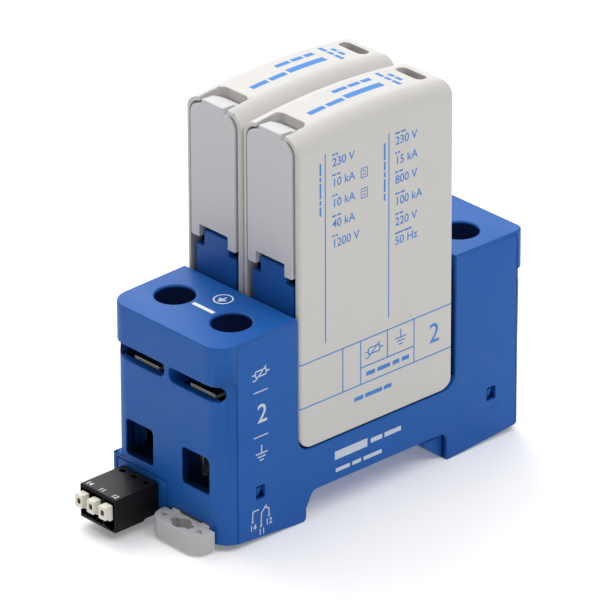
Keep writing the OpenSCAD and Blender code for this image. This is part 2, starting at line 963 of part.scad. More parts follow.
// Outline of the handle in plan
module clip_plan() {
    tip = end_face + clip_gap + clip_reach;
    intersection() {
        round_rect([-clip_w / 2, clip_w / 2], [-tip, clip_corner], clip_corner);
        translate([-clip_w / 2, -tip])
            square([clip_w, clip_reach]);
    }
}

// Small triangular dent in the top of the handle
module clip_dent() {
    along_z([-clip_drop - dent_depth, -clip_drop + over])
        polygon([[-dent_r, dent_r], [dent_r, 0], [-dent_r, -dent_r]]);
}

module rail_clip() {
    pry_y = -end_face - clip_reach / 2 + pry_in;
    color("lightgray")
        translate([clip_x, 0, 0])
            difference() {
                union() {
                    along_z([clip_z, -clip_drop])
                        clip_plan();
                    box([-tongue_w / 2, tongue_w / 2], [-end_face - over, -foot_front],
                        [tongue_low, -clip_drop]);
                    for (side = [LEFT, RIGHT])
                        at_side(side)
                            box([guide_w / 2 - flange_t, guide_w / 2], [-end_face - clip_gap, -foot_front],
                                [flange_low, flange_top]);
                    along_x([-tongue_w / 2, tongue_w / 2])
                        polygon([
                            [-foot_front - over, tongue_low],
                            [-hook_tip - nose_slope, tongue_low],
                            [-hook_tip, nose_top - nose_slope],
                            [-hook_tip, nose_top],
                            [-foot_front - over, nose_top]]);
                }
                translate([0, pry_y, clip_z - over]) {
                    cylinder(r = pry_r, h = clip_t + 2 * over);
                    box([-pry_slot_len / 2, pry_slot_len / 2], [-pry_slot_w / 2, pry_slot_w / 2],
                        [0, clip_t + 2 * over]);
                }
                for (side = [LEFT, RIGHT])
                    at_side(side)
                        translate([dent_x, pry_y, 0])
                            clip_dent();
                box([-spring_bay, spring_bay], [-peg_y, -peg_y + peg_t + spring_room + spring_end_play],
                    [tongue_low - over, flange_top + over]);
            }
}

module clip_spring() {
    color("silver")
        translate([clip_x, -peg_y + peg_t, (tongue_low - clip_drop) / 2])
            coil(spring_room, spring_r, spring_wire, spring_turns);
}

module signal_switch() {
    color("dimgray") {
        box([-switch_len / 2, switch_len / 2], [-switch_t / 2 + slack, switch_t / 2 - slack],
            [well_z, well_z + switch_h]);
        for (x = [-switch_len / 4, switch_len / 4])
            translate([x, 0, well_z + switch_h])
                cylinder(r = plunger_r, h = plunger_h);
    }
}

// Signal socket and plug

module signal_socket() {
    color("royalblue")
        difference() {
            translate([plug_x, 0, 0]) {
                box([-socket_half, socket_half], [-end_face, -end_face + socket_flange],
                    [socket_bottom, socket_top]);
                box([-socket_body, socket_body], [-end_face + socket_flange, -end_face + socket_depth],
                    [socket_bottom, nose_top_z + socket_wall]);
            }
            translate([plug_x, 0, 0])
                box([-nose_w / 2 - nose_play, nose_w / 2 + nose_play],
                    [-end_face - over, -end_face + nose_len + nose_room],
                    [nose_bottom_z - nose_play, nose_top_z + nose_play]);
        }
}

// Places along X of the three poles
function plug_poles() = [for (i = [-1 : 1]) plug_x + i * plug_pitch];

module signal_pins() {
    color("silver")
        for (x = plug_poles())
            translate([x, -end_face + nose_len + nose_room, pin_z])
                rotate([90, 0, 0])
                    cylinder(r = pin_r, h = nose_len);
}

// Hollow of the plug in front of one pole
module plug_cell(y, z) {
    box([-cell_w / 2, cell_w / 2], [-plug_front - over, -plug_front + y], z);
}

module signal_plug() {
    color("black")
        difference() {
            translate([plug_x, 0, 0]) {
                along_x([-plug_w / 2, plug_w / 2])
                    polygon([
                        [-end_face - seat_gap, plug_bottom + heel_step],
                        [-end_face - heel_len + heel_step, plug_bottom + heel_step],
                        [-end_face - heel_len, plug_bottom],
                        [-plug_front, plug_bottom],
                        [-plug_front, plug_top - plug_edge],
                        [-plug_front + plug_edge, plug_top],
                        [-end_face - seat_gap, plug_top]]);
                box([-nose_w / 2, nose_w / 2], [-end_face - over, -end_face + nose_len],
                    [nose_bottom_z, nose_top_z]);
            }
            for (x = plug_poles())
                translate([x, 0, 0]) {
                    plug_cell(cell_depth, [lever_z, cell_top]);
                    plug_cell(cell_depth, [plug_bottom + plug_wall, lever_z - cell_sill]);
                    plug_cell(cell_depth / 2, [plug_bottom + plug_wall, cell_top]);
                    box([-probe_half, probe_half], [-end_face - probe_to, -end_face - probe_from],
                        [plug_top - probe_depth, plug_top + over]);
                    translate([0, -end_face + nose_len + over, pin_z])
                        rotate([90, 0, 0])
                            cylinder(r = pin_r + pin_play, h = nose_len + over);
                }
        }
}

// Release lever of one pole, with an eye for a screwdriver's tip
module lever(i) {
    left = plug_poles()[i - 1] - lever_w / 2;
    tip = -plug_front - lever_out;
    color("antiquewhite")
        difference() {
            along_x([left, left + lever_w])
                polygon([
                    [tip, lever_top],
                    [tip, lever_z + lever_step],
                    [tip + lever_brow[0], lever_z + lever_step],
                    [tip + lever_brow[1], lever_z],
                    [-plug_front + lever_len, lever_z],
                    [-plug_front + lever_len, lever_top]]);
            box([left + eye_x[0], left + eye_x[1]], [tip - over, tip + eye_depth],
                [lever_top - eye_z[0], lever_top - eye_z[1]]);
        }
}

module lever_1() { lever(1); }
module lever_2() { lever(2); }
module lever_3() { lever(3); }

// Modules, made for the right side

// Cross-section of a module in X and distance from the crown's axis
module crown_section(half, r, out, low) {
    translate([low, -half])
        square([out - r - low, 2 * half]);
    translate([low, -half + r])
        square([out - low, 2 * half - 2 * r]);
    for (side = [-1, 1])
        translate([out - r, side * (half - r)])
            circle(r);
}

// Body of revolution about the crown's axis
module crown(half, r, out) {
    translate([pole_x, 0, crown_z])
        rotate([0, -90, 0])
            rotate([0, 0, -crown_sweep / 2])
                rotate_extrude(angle = crown_sweep)
                    crown_section(half, r, out, crown_r / 3);
}

// Side profile of a module
module module_profile() {
    tall = module_top + over;
    rear_z = rear_brow_z - rear_edge_r;
    translate([-module_front, module_z + heel_r])
        square([module_front + module_rear - rear_edge_r, tall - module_z - heel_r]);
    translate([-module_front + heel_r, module_z])
        square([module_front + module_rear - 2 * heel_r, rear_z - module_z]);
    translate([-module_front, module_z + heel_r])
        square([module_front + module_rear, rear_z - module_z - heel_r]);
    for (y = [-module_front + heel_r, module_rear - heel_r])
        translate([y, module_z + heel_r])
            circle(heel_r);
    translate([module_rear - rear_edge_r, rear_z])
        circle(rear_edge_r);
}

// Niche in the front of the shell for panel and key plate, in X and Z
module niche_outline(top) {
    round_rect([pole_x - niche_half, pole_x + niche_half], [module_z - 2 * edge_r, top], edge_r - shell_t);
}

module shell() {
    color("whitesmoke")
        difference() {
            intersection() {
                crown(module_half, edge_r, crown_r);
                along_x([0, pole_w])
                    module_profile();
                along_z([module_z - over, module_top + over])
                    round_rect(
                        [pole_x - module_half, pole_x + module_half],
                        [-module_front, module_rear],
                        upright_r);
            }
            along_y([-module_front - over, -module_front + panel_t - panel_proud])
                niche_outline(brow_z - brow_t);
            box([pole_x - niche_half, pole_x + niche_half], [-module_front - over, -module_front + niche_t],
                [module_z - over, key_top + panel_gap]);
            box([pole_x - niche_half, pole_x + niche_half],
                [-module_front, -module_front + niche_t + niche_wall + over],
                [shoulder_z - code_drop, key_top + panel_gap]);
            difference() {
                intersection() {
                    crown(niche_half, edge_r - shell_t, roof_inner_r);
                    box([0, pole_w], [-core_front - core_play, module_rear - shell_t],
                        [module_z - over, module_top]);
                }
                box([pole_x - pocket_w / 2 - shell_t, pole_x + pocket_w / 2 + shell_t],
                    [-module_front, -module_front + pocket_len + shell_t],
                    [pocket_z - shell_t, module_top]);
            }
            finger_pocket();
            along_z([module_top - 2 * edge_r, module_top + over])
                round_rect(
                    [pole_x - window_w / 2, pole_x + window_w / 2],
                    [window_rear - window_len, window_rear],
                    window_r);
        }
}

// Recess in the top that the finger tab stands in
module finger_pocket() {
    along_z([pocket_z, module_top + over])
        round_rect(
            [pole_x - pocket_w / 2, pole_x + pocket_w / 2],
            [-module_front - pocket_len, -module_front + pocket_len],
            pocket_r);
}

// Outline of the front panel in X and Z
module panel_outline() {
    x = [pole_x - panel_half, pole_x + panel_half];
    round_rect(x, [panel_z + panel_r, panel_top], panel_r);
    round_rect(x, [panel_z, panel_top - 2 * panel_r], panel_toe);
}

module panel() {
    face = -module_front - panel_proud;
    back = face + panel_t;
    color("gainsboro") {
        along_y([face, back])
            difference() {
                panel_outline();
                translate([pole_x - key_tongue_w / 2 - panel_room, panel_z - over])
                    square([key_tongue_w + 2 * panel_room, key_top - panel_z + panel_gap + over]);
            }
        along_x([pole_x - tab_w / 2, pole_x + tab_w / 2])
            polygon([
                [face, panel_top - tab_root],
                [face, tab_top],
                [-module_front + tab_flat, tab_top - tab_fall],
                [-module_front + tab_rear, tab_floor + tab_tail],
                [-module_front + tab_rear, tab_floor],
                [back, tab_floor],
                [back, panel_top - tab_root]]);
    }
}

// Inner frame that closes the module below and carries its parts
module core() {
    color("gainsboro")
        difference() {
            union() {
                along_x([pole_x - core_half, pole_x + core_half])
                    polygon([
                        [-core_front, core_z],
                        [core_rear, core_z],
                        [core_rear, shelf_z - shelf_t + shelf_lap],
                        [core_rear - core_wall, shelf_z - shelf_t + shelf_lap],
                        [core_rear - core_wall, core_z + core_floor],
                        [-core_front, core_z + core_floor]]);
                box([pole_x - core_half + shelf_in, pole_x + core_half - shelf_in],
                    [shelf_front, core_rear], [shelf_z - shelf_t, shelf_z]);
                box([pole_x - flag_w / 2, pole_x + flag_w / 2],
                    [shelf_front, shelf_front + core_wall], [shelf_z, shelf_z + flag_t]);
            }
            for (y = [-blade_front_y, blade_rear_y])
                box([pole_x - blade_t / 2, pole_x + blade_t / 2],
                    [y - blade_w / 2, y + blade_w / 2], [core_z - over, core_z + core_floor + over]);
        }
}

function varistor_from() = -blade_front_y + blade_w / 2;
function varistor_to() = blade_rear_y - blade_w / 2;

module varistor() {
    color("steelblue")
        translate([pole_x, 0, core_z + core_floor])
            along_x([-varistor_t / 2, varistor_t / 2])
                round_rect([varistor_from(), varistor_to()], [0, varistor_h], varistor_r);
}

// Contact blade, soldered to the edge of the varistor
module blade(y) {
    color("silver")
        translate([pole_x, 0, 0])
            box([-blade_t / 2, blade_t / 2], [y - blade_w / 2, y + blade_w / 2],
                [module_z - blade_len, core_z + core_floor + varistor_h / 2]);
}

module flag() {
    color("firebrick")
        box([pole_x - flag_w / 2, pole_x + flag_w / 2], [flag_front, flag_front + flag_len],
            [shelf_z, shelf_z + flag_t]);
}

module flag_spring() {
    color("silver")
        translate([pole_x, flag_front - flag_spring_len, shelf_z + flag_t / 2 + flag_wire])
            coil(flag_spring_len, flag_coil_r, flag_wire, flag_turns);
}

module shell_left() { at_side(LEFT) shell(); }
module panel_left() { at_side(LEFT) panel(); }
module core_left() { at_side(LEFT) core(); }
module varistor_left() { at_side(LEFT) varistor(); }
module blade_front_left() { at_side(LEFT) blade(-blade_front_y); }
module blade_rear_left() { at_side(LEFT) blade(blade_rear_y); }
module flag_left() { at_side(LEFT) flag(); }
module flag_spring_left() { at_side(LEFT) flag_spring(); }
module shell_right() { at_side(RIGHT) shell(); }
module panel_right() { at_side(RIGHT) panel(); }
module core_right() { at_side(RIGHT) core(); }
module varistor_right() { at_side(RIGHT) varistor(); }
module blade_front_right() { at_side(RIGHT) blade(-blade_front_y); }
module blade_rear_right() { at_side(RIGHT) blade(blade_rear_y); }
module flag_right() { at_side(RIGHT) flag(); }
module flag_spring_right() { at_side(RIGHT) flag_spring(); }

base_frame();
cover_left();
cover_right();
screw_front_left();
screw_front_right();
screw_rear_left();
screw_rear_right();
cage_front_left();
cage_front_right();
cage_rear_left();
cage_rear_right();
bar_front_left();
bar_front_right();
bar_rear_left();
bar_rear_right();
receptacle_front_left();
receptacle_front_right();
receptacle_rear_left();
receptacle_rear_right();
rail_clip();
clip_spring();
signal_switch();
signal_socket();
signal_pins();
signal_plug();
lever_1();
lever_2();
lever_3();
shell_left();
panel_left();
core_left();
varistor_left();
blade_front_left();
blade_rear_left();
flag_left();
flag_spring_left();
shell_right();
panel_right();
core_right();
varistor_right();
blade_front_right();
blade_rear_right();
flag_right();
flag_spring_right();
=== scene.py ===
"""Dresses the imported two-pole surge arrester: softened mouldings, finishes, prints and a stage."""

import json
import math

import bmesh
import bpy
from bpy.props import FloatProperty, FloatVectorProperty, PointerProperty
from mathutils import Matrix, Vector
from mathutils.bvhtree import BVHTree
from mathutils.kdtree import KDTree

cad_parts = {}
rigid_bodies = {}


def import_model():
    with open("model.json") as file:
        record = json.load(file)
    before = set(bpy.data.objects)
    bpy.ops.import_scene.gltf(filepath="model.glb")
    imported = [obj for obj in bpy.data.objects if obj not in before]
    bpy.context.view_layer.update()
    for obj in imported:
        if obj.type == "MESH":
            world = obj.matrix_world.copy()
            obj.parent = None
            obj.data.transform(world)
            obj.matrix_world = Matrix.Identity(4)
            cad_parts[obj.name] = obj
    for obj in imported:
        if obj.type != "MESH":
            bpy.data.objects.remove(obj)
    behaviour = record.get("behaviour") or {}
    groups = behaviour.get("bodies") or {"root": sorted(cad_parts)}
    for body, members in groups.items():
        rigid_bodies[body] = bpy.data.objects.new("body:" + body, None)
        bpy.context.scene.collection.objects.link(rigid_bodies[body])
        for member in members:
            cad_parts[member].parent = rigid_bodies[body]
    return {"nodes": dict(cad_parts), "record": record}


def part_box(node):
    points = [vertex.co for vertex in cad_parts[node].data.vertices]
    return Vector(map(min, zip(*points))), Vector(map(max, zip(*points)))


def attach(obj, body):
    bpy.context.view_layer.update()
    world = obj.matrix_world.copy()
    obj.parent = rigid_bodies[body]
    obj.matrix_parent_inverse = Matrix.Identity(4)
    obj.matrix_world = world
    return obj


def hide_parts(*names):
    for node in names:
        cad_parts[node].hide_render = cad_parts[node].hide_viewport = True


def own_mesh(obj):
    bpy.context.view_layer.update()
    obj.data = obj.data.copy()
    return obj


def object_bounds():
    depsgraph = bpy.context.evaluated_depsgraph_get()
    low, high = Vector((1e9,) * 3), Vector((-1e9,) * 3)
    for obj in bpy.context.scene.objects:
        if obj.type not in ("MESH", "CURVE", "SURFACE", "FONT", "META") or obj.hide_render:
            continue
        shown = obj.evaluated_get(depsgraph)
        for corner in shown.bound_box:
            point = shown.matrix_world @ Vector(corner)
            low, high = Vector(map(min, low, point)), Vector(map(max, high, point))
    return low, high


bl_info = {
    "name": "Surge Arrester Dresser",
    "version": (1, 0, 0),
    "blender": (4, 5, 0),
    "location": "View3D > Sidebar > Arrester",
    "description": "Dresses the packed surge arrester with edges, finishes, prints and a studio stage",
    "category": "Object",
}

for leftover in list(bpy.data.objects):
    bpy.data.objects.remove(leftover)
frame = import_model()
CAD_BOX = [list(corner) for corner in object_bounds()]
BEHAVIOUR = frame["record"]["behaviour"]
BODY_OF = {node: body for body, nodes in BEHAVIOUR["bodies"].items() for node in nodes}
SLOT_OF = {row["node"]: row["material_slot"] for row in frame["record"]["subparts"]}

MM = 0.001
SIDES = {"left": -1, "right": 1}
ENDS = ("front", "rear")
POLE_W = 18 * MM
UP = Vector((0, 0, 1))
RIGHT = Vector((1, 0, 0))
REAR = Vector((0, 1, 0))
WHITE = (1, 1, 1, 1)

# Limits of the rounding: what counts as flat, sharp, merged, on a seam, at a face or astray
FLAT = math.radians(0.6)
SHARP = math.radians(33)
MERGE_REACH = 0.025 * MM
SEAM_REACH = 0.12 * MM
FACE_REACH = 0.1 * MM
STRAY_SHARE = 0.6
ROUNDING_TRIES = 6
ROUNDING_STEPS = 3
FLAT_FACE_WEIGHT = 80

# Noise of the finishes: the used part of its range, detail of clouds and of streaks
NOISE_RANGE = (0.3, 0.7)
CLOUD_DETAIL = 3.0
STREAK_DETAIL = 2.0

# Sockets of a node that mixes colours
MIX_FACTOR = 0
MIX_A = 6
MIX_B = 7
MIX_OUT = 2

# Moulded plastic: clouds, flow streaks, flecks, spread of the roughness and strength of the grain
CLOUD_SIZE = 16 * MM
FLOW_SIZE = 5 * MM
FLOW_STRETCH = (0.25, 1, 1)
FLECK_TONE = (0.955, 0.955, 0.955, 1)
ROUGH_SPREAD = 0.05
GRAIN_STRENGTH = 0.35

# Plated metal: streaks, clouds, range of its tones and spread of the roughness
STREAK_SIZE = 0.12 * MM
STREAK_STRETCH = (1, 0.06, 1)
STREAK_STRENGTH = 0.25
STREAK_DEPTH = 0.006 * MM
PLATE_CLOUD = 3 * MM
PLATE_TONES = (0.90, 1.06)
PLATE_SPREAD = (-0.06, 0.10)

# Ink: unevenness of its cover, range of its tones and roughness, gloss, and reach of its merged points
INK_GRAIN = 0.35 * MM
INK_TONES = (0.90, 1.10)
INK_ROUGH = (0.45, 0.60)
INK_GLOSS = 0.1
INK_MERGE_SHARE = 0.1

# Terminal screws: distance of their axes from the middle, shaft radius, what counts as on it, head height
SCREW_Y = 33.5 * MM
SCREW_R = 3.0 * MM
SHAFT_REACH = 0.05 * MM
SCREW_HEAD = 3.4 * MM

# Driver holes: reach of the rim from the screw's axis
RIM_REACH = 5.2 * MM

# Ridge of a thread: its share of the thread's depth, sides of its section and steps of a turn
RIDGE_SHARE = 0.95
RIDGE_SIDES = 6
TURN_STEPS = 32

# Contact tabs: height of the part that gets painted shade on its top and a bright tip that is partly a
# painted highlight
TAB_HEIGHT = 2 * MM

# Block tops: how far in from a module's end an edge still counts as one of theirs
TOP_LAP = 2 * MM

# Space of the terminal chambers on either side and end, whose walls get painted shade: half width, range
# of Y and top
CHAMBER_X = 16.2 * MM
CHAMBER_Y = (24.6 * MM, 42.2 * MM)
CHAMBER_TOP = 41.0 * MM

# Wire entries: half width about a pole's middle, range of Z and end of the wall with painted shade
ENTRY_X = 4.6 * MM
ENTRY_Z = (5.9 * MM, 15.2 * MM)
ENTRY_Y = 43.95 * MM

# Levers: their numbers, and the eye in the front of each, whose faces get painted shade, across from the
# left and down from the top
LEVERS = (1, 2, 3)
EYE_X = (0.7 * MM, 1.8 * MM)
EYE_Z = (0.75 * MM, 2.05 * MM)

# Print: cuts along a stroke, a capital's share of the font size, width, weight and steps of letters
STROKE_CUTS = 9
CAP_SHARE = 0.70
LETTER_WIDTH = 0.98
LETTER_WEIGHT = 0.03 * MM
LETTER_STEPS = 4

# The places and sizes of prints from here on are in millimetres on the plane of the print.
# A row of bars is a start, the lengths of its bars, their height and the gap between them.
# A number is its text, its lower left corner and its height.
INK_LINE = 0.3

# Side of the base: rules, symbols with their middle and size, change-over contact, bars and numbers
FIELD_RULE_Y = (-35.4, -31.3)
FIELD_RULE_Z = (29.27, 18.55)
FIELD_RULE_WIDTH = 0.25
FIELD_VARISTOR = (-33.3, 33.6, 4.2)
FIELD_EARTH = (-33.2, 14.4, 4.0)
CONTACT_ARMS = (
    ((-35.94, -1.10), (-35.80, 1.05), (-34.07, 1.04)),
    ((-33.48, -2.84), (-33.34, 0.0), (-31.86, 1.47)),
    ((-31.21, -0.97), (-31.20, 0.45), (-32.60, 1.12)))
CONTACT_EYES = ((-35.94, -1.38), (-33.48, -3.12), (-31.21, -1.25))
CONTACT_EYE_R = 0.26
CONTACT_EYE_WIDTH = 0.2
CONTACT_EYE_SIDES = 12
BASE_BARS = (
    (-11.9, 6.1, (9.6,), 2.0, 0.7),
    (-1.3, 6.1, (3.4, 4.9), 1.1, 0.7),
    (-11.65, 2.5, (4.2, 2.6, 5.4), 0.9, 0.7))
BASE_NUMBERS = (
    ("14", -36.75, -3.48, 1.4), ("11", -34.25, -5.19, 1.4), ("12", -32.2, -3.40, 1.4),
    ("2", -34.5, 21.8, 4.4))

# Top of the front block: a bar between the driver holes, and an earth symbol in a ring
BLOCK_BAR_X = 3.3
BLOCK_BAR_Y = -33.4
BLOCK_BAR_WIDTH = 1.0
BLOCK_RING = (0, -27.7, 2.1)
BLOCK_RING_WIDTH = 0.32
BLOCK_EARTH = (0, -27.9, 2.5)
BLOCK_EARTH_WIDTH = 0.36

# Signal plug: terminal numbers with their places across, and their line and height
PLUG_NUMBERS = (("14", -13.5), ("11", -9.35), ("12", -5.2))
PLUG_NUMBER_Y = -56.0
PLUG_NUMBER_H = 1.25

# Side of a module: two column rules with their ends, and a table with top, bottom, stretches and posts
COLUMN_RULES = ((-14.5, 34.24, 78.85), (4.0, 33.95, 77.96))
TABLE_TOP = 31.2
TABLE_BOTTOM = 20.7
TABLE_SPANS = ((-21.9, -21.0), (-21.0, 22.1), (22.1, 23.0))
TABLE_POSTS = (-9.47, -4.22, 11.56)
CELL_POST = 3.69
CELL_FLOOR = 24.65
TABLE_VARISTOR = (-0.27, 27.9, 4.6)
TABLE_EARTH = (7.6, 28.2, 4.0)
POLE_NUMBER = (16.0, 23.6, 4.6)
MODULE_BARS = (
    (-2.6, 22.7, (2.6, 3.8, 2.0, 2.2), 1.0, 0.7),
    (-6.1, 17.6, (2.7, 5.0, 2.3), 1.0, 0.5))
MODULE_UPRIGHTS = (
    (-15.9, 64.65, (2.2, 1.0, 3.6, 1.0, 2.7), 0.5, 0.45),
    (2.75, 62.4, (1.6, 3.0, 1.2, 2.0, 3.9), 0.5, 0.45))

# Values in the two columns of a module: text, height of the line and length of its caption
LEFT_VALUES = (
    ("230 V", 75.2, 1.6), ("10 kA", 70.4, 2.4), ("10 kA", 65.6, 1.4),
    ("40 kA", 60.75, 2.6), ("1200 V", 56.1, 1.5))
RIGHT_VALUES = (
    ("230 V", 74.4, 3.2), ("15 kA", 69.8, 1.4), ("800 V", 65.25, 2.2),
    ("100 kA", 60.15, 3.0), ("220 V", 55.3, 2.4), ("50 Hz", 50.75, 5.2))
VALUE_COLUMNS = ((-12.5, LEFT_VALUES), (5.8, RIGHT_VALUES))
VALUE_H = 1.95
CAPTION_RISE = 2.75
CAPTION_SHARE = 0.45
CAPTION_H = 0.42
CAPTION_GAP = 0.25

# Small boxes beside the values: middles, half sizes, and the lines in them
VALUE_BOXES = ((-3.2, 71.0), (-3.2, 66.2))
VALUE_BOX_HALF = (0.9, 1.1)
VALUE_BOX_LINE = 0.5
VALUE_BOX_LIFTS = (-0.4, 0.4)
VALUE_BOX_WIDTH = 0.22

# Top of a module, about the pole's middle: bars along it and bars across it
TOP_UPRIGHTS = (
    (1.35, -12.3, (4.6, 4.7), 1.5, 0.7),
    (1.05, -1.5, (10.8,), 1.9, 0.7),
    (-2.55, -1.8, (4.0, 3.2, 2.6), 1.3, 0.6))
TOP_BARS = (
    (-4.2, 12.4, (2.4, 1.8, 2.6), 1.0, 0.5),
    (-2.3, 14.35, (1.7, 2.0), 1.0, 0.5))

# Camera, in metres again: height that it looks at, its step to the left and down, width of its sensor
AIM_Z = 40 * MM
CAMERA_LEFT = 4.004 * MM
CAMERA_DOWN = 6.131 * MM
SENSOR_W = 36

# Floor: half its width, cuts along a side, size of its paper's pulp, tones and roughness
FLOOR_REACH = 12.0
FLOOR_CUTS = 8
PULP_SIZE = 2 * MM
FLOOR_TONES = ((0.90, 0.90, 0.90, 1), (0.93, 0.93, 0.93, 1))
FLOOR_ROUGH = 0.9

# Lights: name, width and place of each, and the height that they look at
LIGHTS = (
    ("key", 0.8, (-0.25, 0.00, 0.80)),
    ("left", 0.8, (-0.70, 0.15, 0.60)),
    ("right", 0.6, (0.45, 0.10, 0.80)),
    ("rim", 0.8, (-0.75, 0.70, 0.50)))
LIGHT_AIM_Z = 35 * MM


# Settings that a user would change


def colour_setting(name, description, default):
    return FloatVectorProperty(
        name=name, description=description, subtype="COLOR", min=0, max=1, default=default)


def length_setting(name, description, default):
    return FloatProperty(name=name, description=description, unit="LENGTH", min=0, default=default)


def angle_setting(name, description, default):
    return FloatProperty(name=name, description=description, subtype="ANGLE", default=default)


def power_setting(name, description, default):
    return FloatProperty(name=name, description=description, unit="POWER", default=default)


class ArresterFinish(bpy.types.PropertyGroup):
    """Colours of the mouldings, metals and inks."""

    base_blue: colour_setting(
        "Base blue", "Moulded blue of base, covers and socket", (0.008, 0.100, 0.395))
    # Painted shade: a dark blue that stands in for the shade inside the terminal chambers and wire
    # entries
    chamber_blue: colour_setting(
        "Chamber blue", "Shaded blue inside the terminal chambers", (0.003, 0.014, 0.075))
    shell_white: colour_setting(
        "Shell white", "Warm white of the module shells", (0.608, 0.592, 0.568))
    panel_grey: colour_setting(
        "Panel grey", "Grey of the front panels and finger tabs", (0.600, 0.592, 0.612))
    clip_grey: colour_setting(
        "Clip grey", "Light grey of the rail clip", (0.51, 0.50, 0.50))
    plug_black: colour_setting(
        "Plug black", "Black of the signal plug and switch", (0.006, 0.006, 0.007))
    lever_cream: colour_setting(
        "Lever cream", "Cream of the release levers", (0.80, 0.76, 0.66))
    # Painted shade: a dark brown that stands in for the shade in the eye of each lever
    lever_eye: colour_setting(
        "Lever eye", "Shaded eye in the release levers", (0.26, 0.20, 0.14))
    flag_red: colour_setting(
        "Flag red", "Signal red of the trip flags", (0.52, 0.022, 0.018))
    ceramic_blue: colour_setting(
        "Varistor blue", "Epoxy coat of the varistor blocks", (0.02, 0.07, 0.22))
    strip_tin: colour_setting(
        "Strip tin", "Tin-plated copper of bars and receptacles", (0.90, 0.80, 0.68))
    # Painted shade: near black that stands in for the shade on the tops of the contact tabs
    dull_tin: colour_setting(
        "Dull tin", "Dull top of the contact tabs", (0.02, 0.02, 0.022))
    # Partly the burnished band of a sheared edge, partly a painted highlight on the tips of the contact
    # tabs
    sheared_tip: colour_setting(
        "Sheared tip", "Bright sheared tips of the contact tabs", (0.98, 0.88, 0.78))
    zinc: colour_setting(
        "Zinc", "Zinc plating of screws, cages and springs", (0.66, 0.66, 0.65))
    ink_blue: colour_setting(
        "Blue ink", "Print on the modules", (0.07, 0.235, 0.60))
    ink_pale: colour_setting(
        "Pale ink", "Print on the side of the base", (0.56, 0.62, 0.70))
    ink_white: colour_setting(
        "White ink", "Print on the block top and the plug", (0.80, 0.82, 0.85))


class ArresterSizes(bpy.types.PropertyGroup):
    """Edge radii of the mouldings, the threads and the layer of ink."""

    base_edge: length_setting(
        "Base edge", "Rounding of the base's and covers' edges", 0.25 * MM)
    top_edge: length_setting(
        "Block top edge", "Rounding round the tops of the terminal blocks", 0.40 * MM)
    rim_edge: length_setting(
        "Hole rim", "Rounding of the rims of the driver holes", 0.50 * MM)
    shell_edge: length_setting(
        "Shell edge", "Rounding of the module shells' edges", 0.22 * MM)
    clip_edge: length_setting(
        "Clip edge", "Rounding of the rail clip's edges", 0.30 * MM)
    small_edge: length_setting(
        "Small edge", "Rounding of plug, levers and metal", 0.15 * MM)
    tab_edge: length_setting(
        "Tab tip edge", "Rounding of the sheared tips of the contact tabs", 0.40 * MM)
    thread_pitch: length_setting(
        "Thread pitch", "Pitch of the terminal screws' threads", 1.0 * MM)
    thread_depth: length_setting(
        "Thread depth", "Depth of the terminal screws' threads", 0.40 * MM)
    ink_layer: length_setting(
        "Ink layer", "Height of the printed ink above the surface", 0.015 * MM)


class ArresterStage(bpy.types.PropertyGroup):
    """Camera, floor and lights of the studio."""

    azimuth: angle_setting("Azimuth", "Turn of the camera about the part", 0.829583)
    elevation: angle_setting("Elevation", "Height angle of the camera", 0.458656)
    roll: angle_setting("Roll", "Tilt of the camera about its own line of sight", -0.003663)
    distance: length_setting("Distance", "Distance from camera to the middle of the part", 1.55334)
    lens: FloatProperty(
        name="Lens", description="Focal length in millimetres", default=430.6)
    key_power: power_setting("Key light", "Power of the large light above", 3.2)
    left_power: power_setting("Left light", "Power of the large light at the left", 4.5)
    right_power: power_setting("Right light", "Power of the light at the upper right", 3.3)
    rim_power: power_setting("Rim light", "Power of the low light behind", 2.4)
    floor_glow: FloatProperty(
        name="Floor glow", description="Light of the floor's own, as on a light table",
        min=0, default=0.18)
    sky: FloatProperty(
        name="Sky", description="Strength of the even light from all round", min=0, default=0.34)


class ArresterSettings(bpy.types.PropertyGroup):
    """All settings of the dressed part."""

    finish: PointerProperty(type=ArresterFinish)
    sizes: PointerProperty(type=ArresterSizes)
    stage: PointerProperty(type=ArresterStage)


def settings():
    return bpy.context.scene.arrester


# Materials


def start_material(name):
    """A new material with a maker of linked nodes, its shader and a maker of links to that."""
    material = bpy.data.materials.new(name)
    material.use_nodes = True
    tree = material.node_tree
    shader = tree.nodes["Principled BSDF"]

    def add(kind, links=(), **values):
        node = tree.nodes.new(kind)
        for key, value in values.items():
            if hasattr(node, key):
                setattr(node, key, value)
            else:
                node.inputs[key].default_value = value
        for socket, source in links:
            tree.links.new(source, node.inputs[socket])
        return node

    def join(source, target):
        tree.links.new(source, shader.inputs[target])

    return material, add, shader, join


def scaled(colour, factor):
    """A colour made darker or lighter, with its alpha."""
    return tuple(min(1.0, channel * factor) for channel in colour) + (1.0,)


def object_noise(add, size, detail=CLOUD_DETAIL, stretch=(1, 1, 1)):
    """Noise on object coordinates with cells of about the given size in metres."""
    place = add("ShaderNodeTexCoord")
    turn = add("ShaderNodeMapping", [("Vector", place.outputs["Object"])], Scale=stretch)
    noise = add("ShaderNodeTexNoise", [("Vector", turn.outputs["Vector"])], Scale=1 / size, Detail=detail)
    return noise.outputs["Fac"]


def tone(add, factor, dark, light):
    """Colour that drifts between two tones with a noise."""
    mix = add("ShaderNodeMix", [(MIX_FACTOR, factor)], data_type="RGBA")
    mix.inputs[MIX_A].default_value = dark
    mix.inputs[MIX_B].default_value = light
    return mix.outputs[MIX_OUT]


def ranged(add, noise, bottom, top):
    """The used part of a noise, spread over a range."""
    node = add("ShaderNodeMapRange", [("Value", noise)])
    ends = (*NOISE_RANGE, bottom, top)
    for socket, value in zip(("From Min", "From Max", "To Min", "To Max"), ends):
        node.inputs[socket].default_value = value
    return node.outputs["Result"]


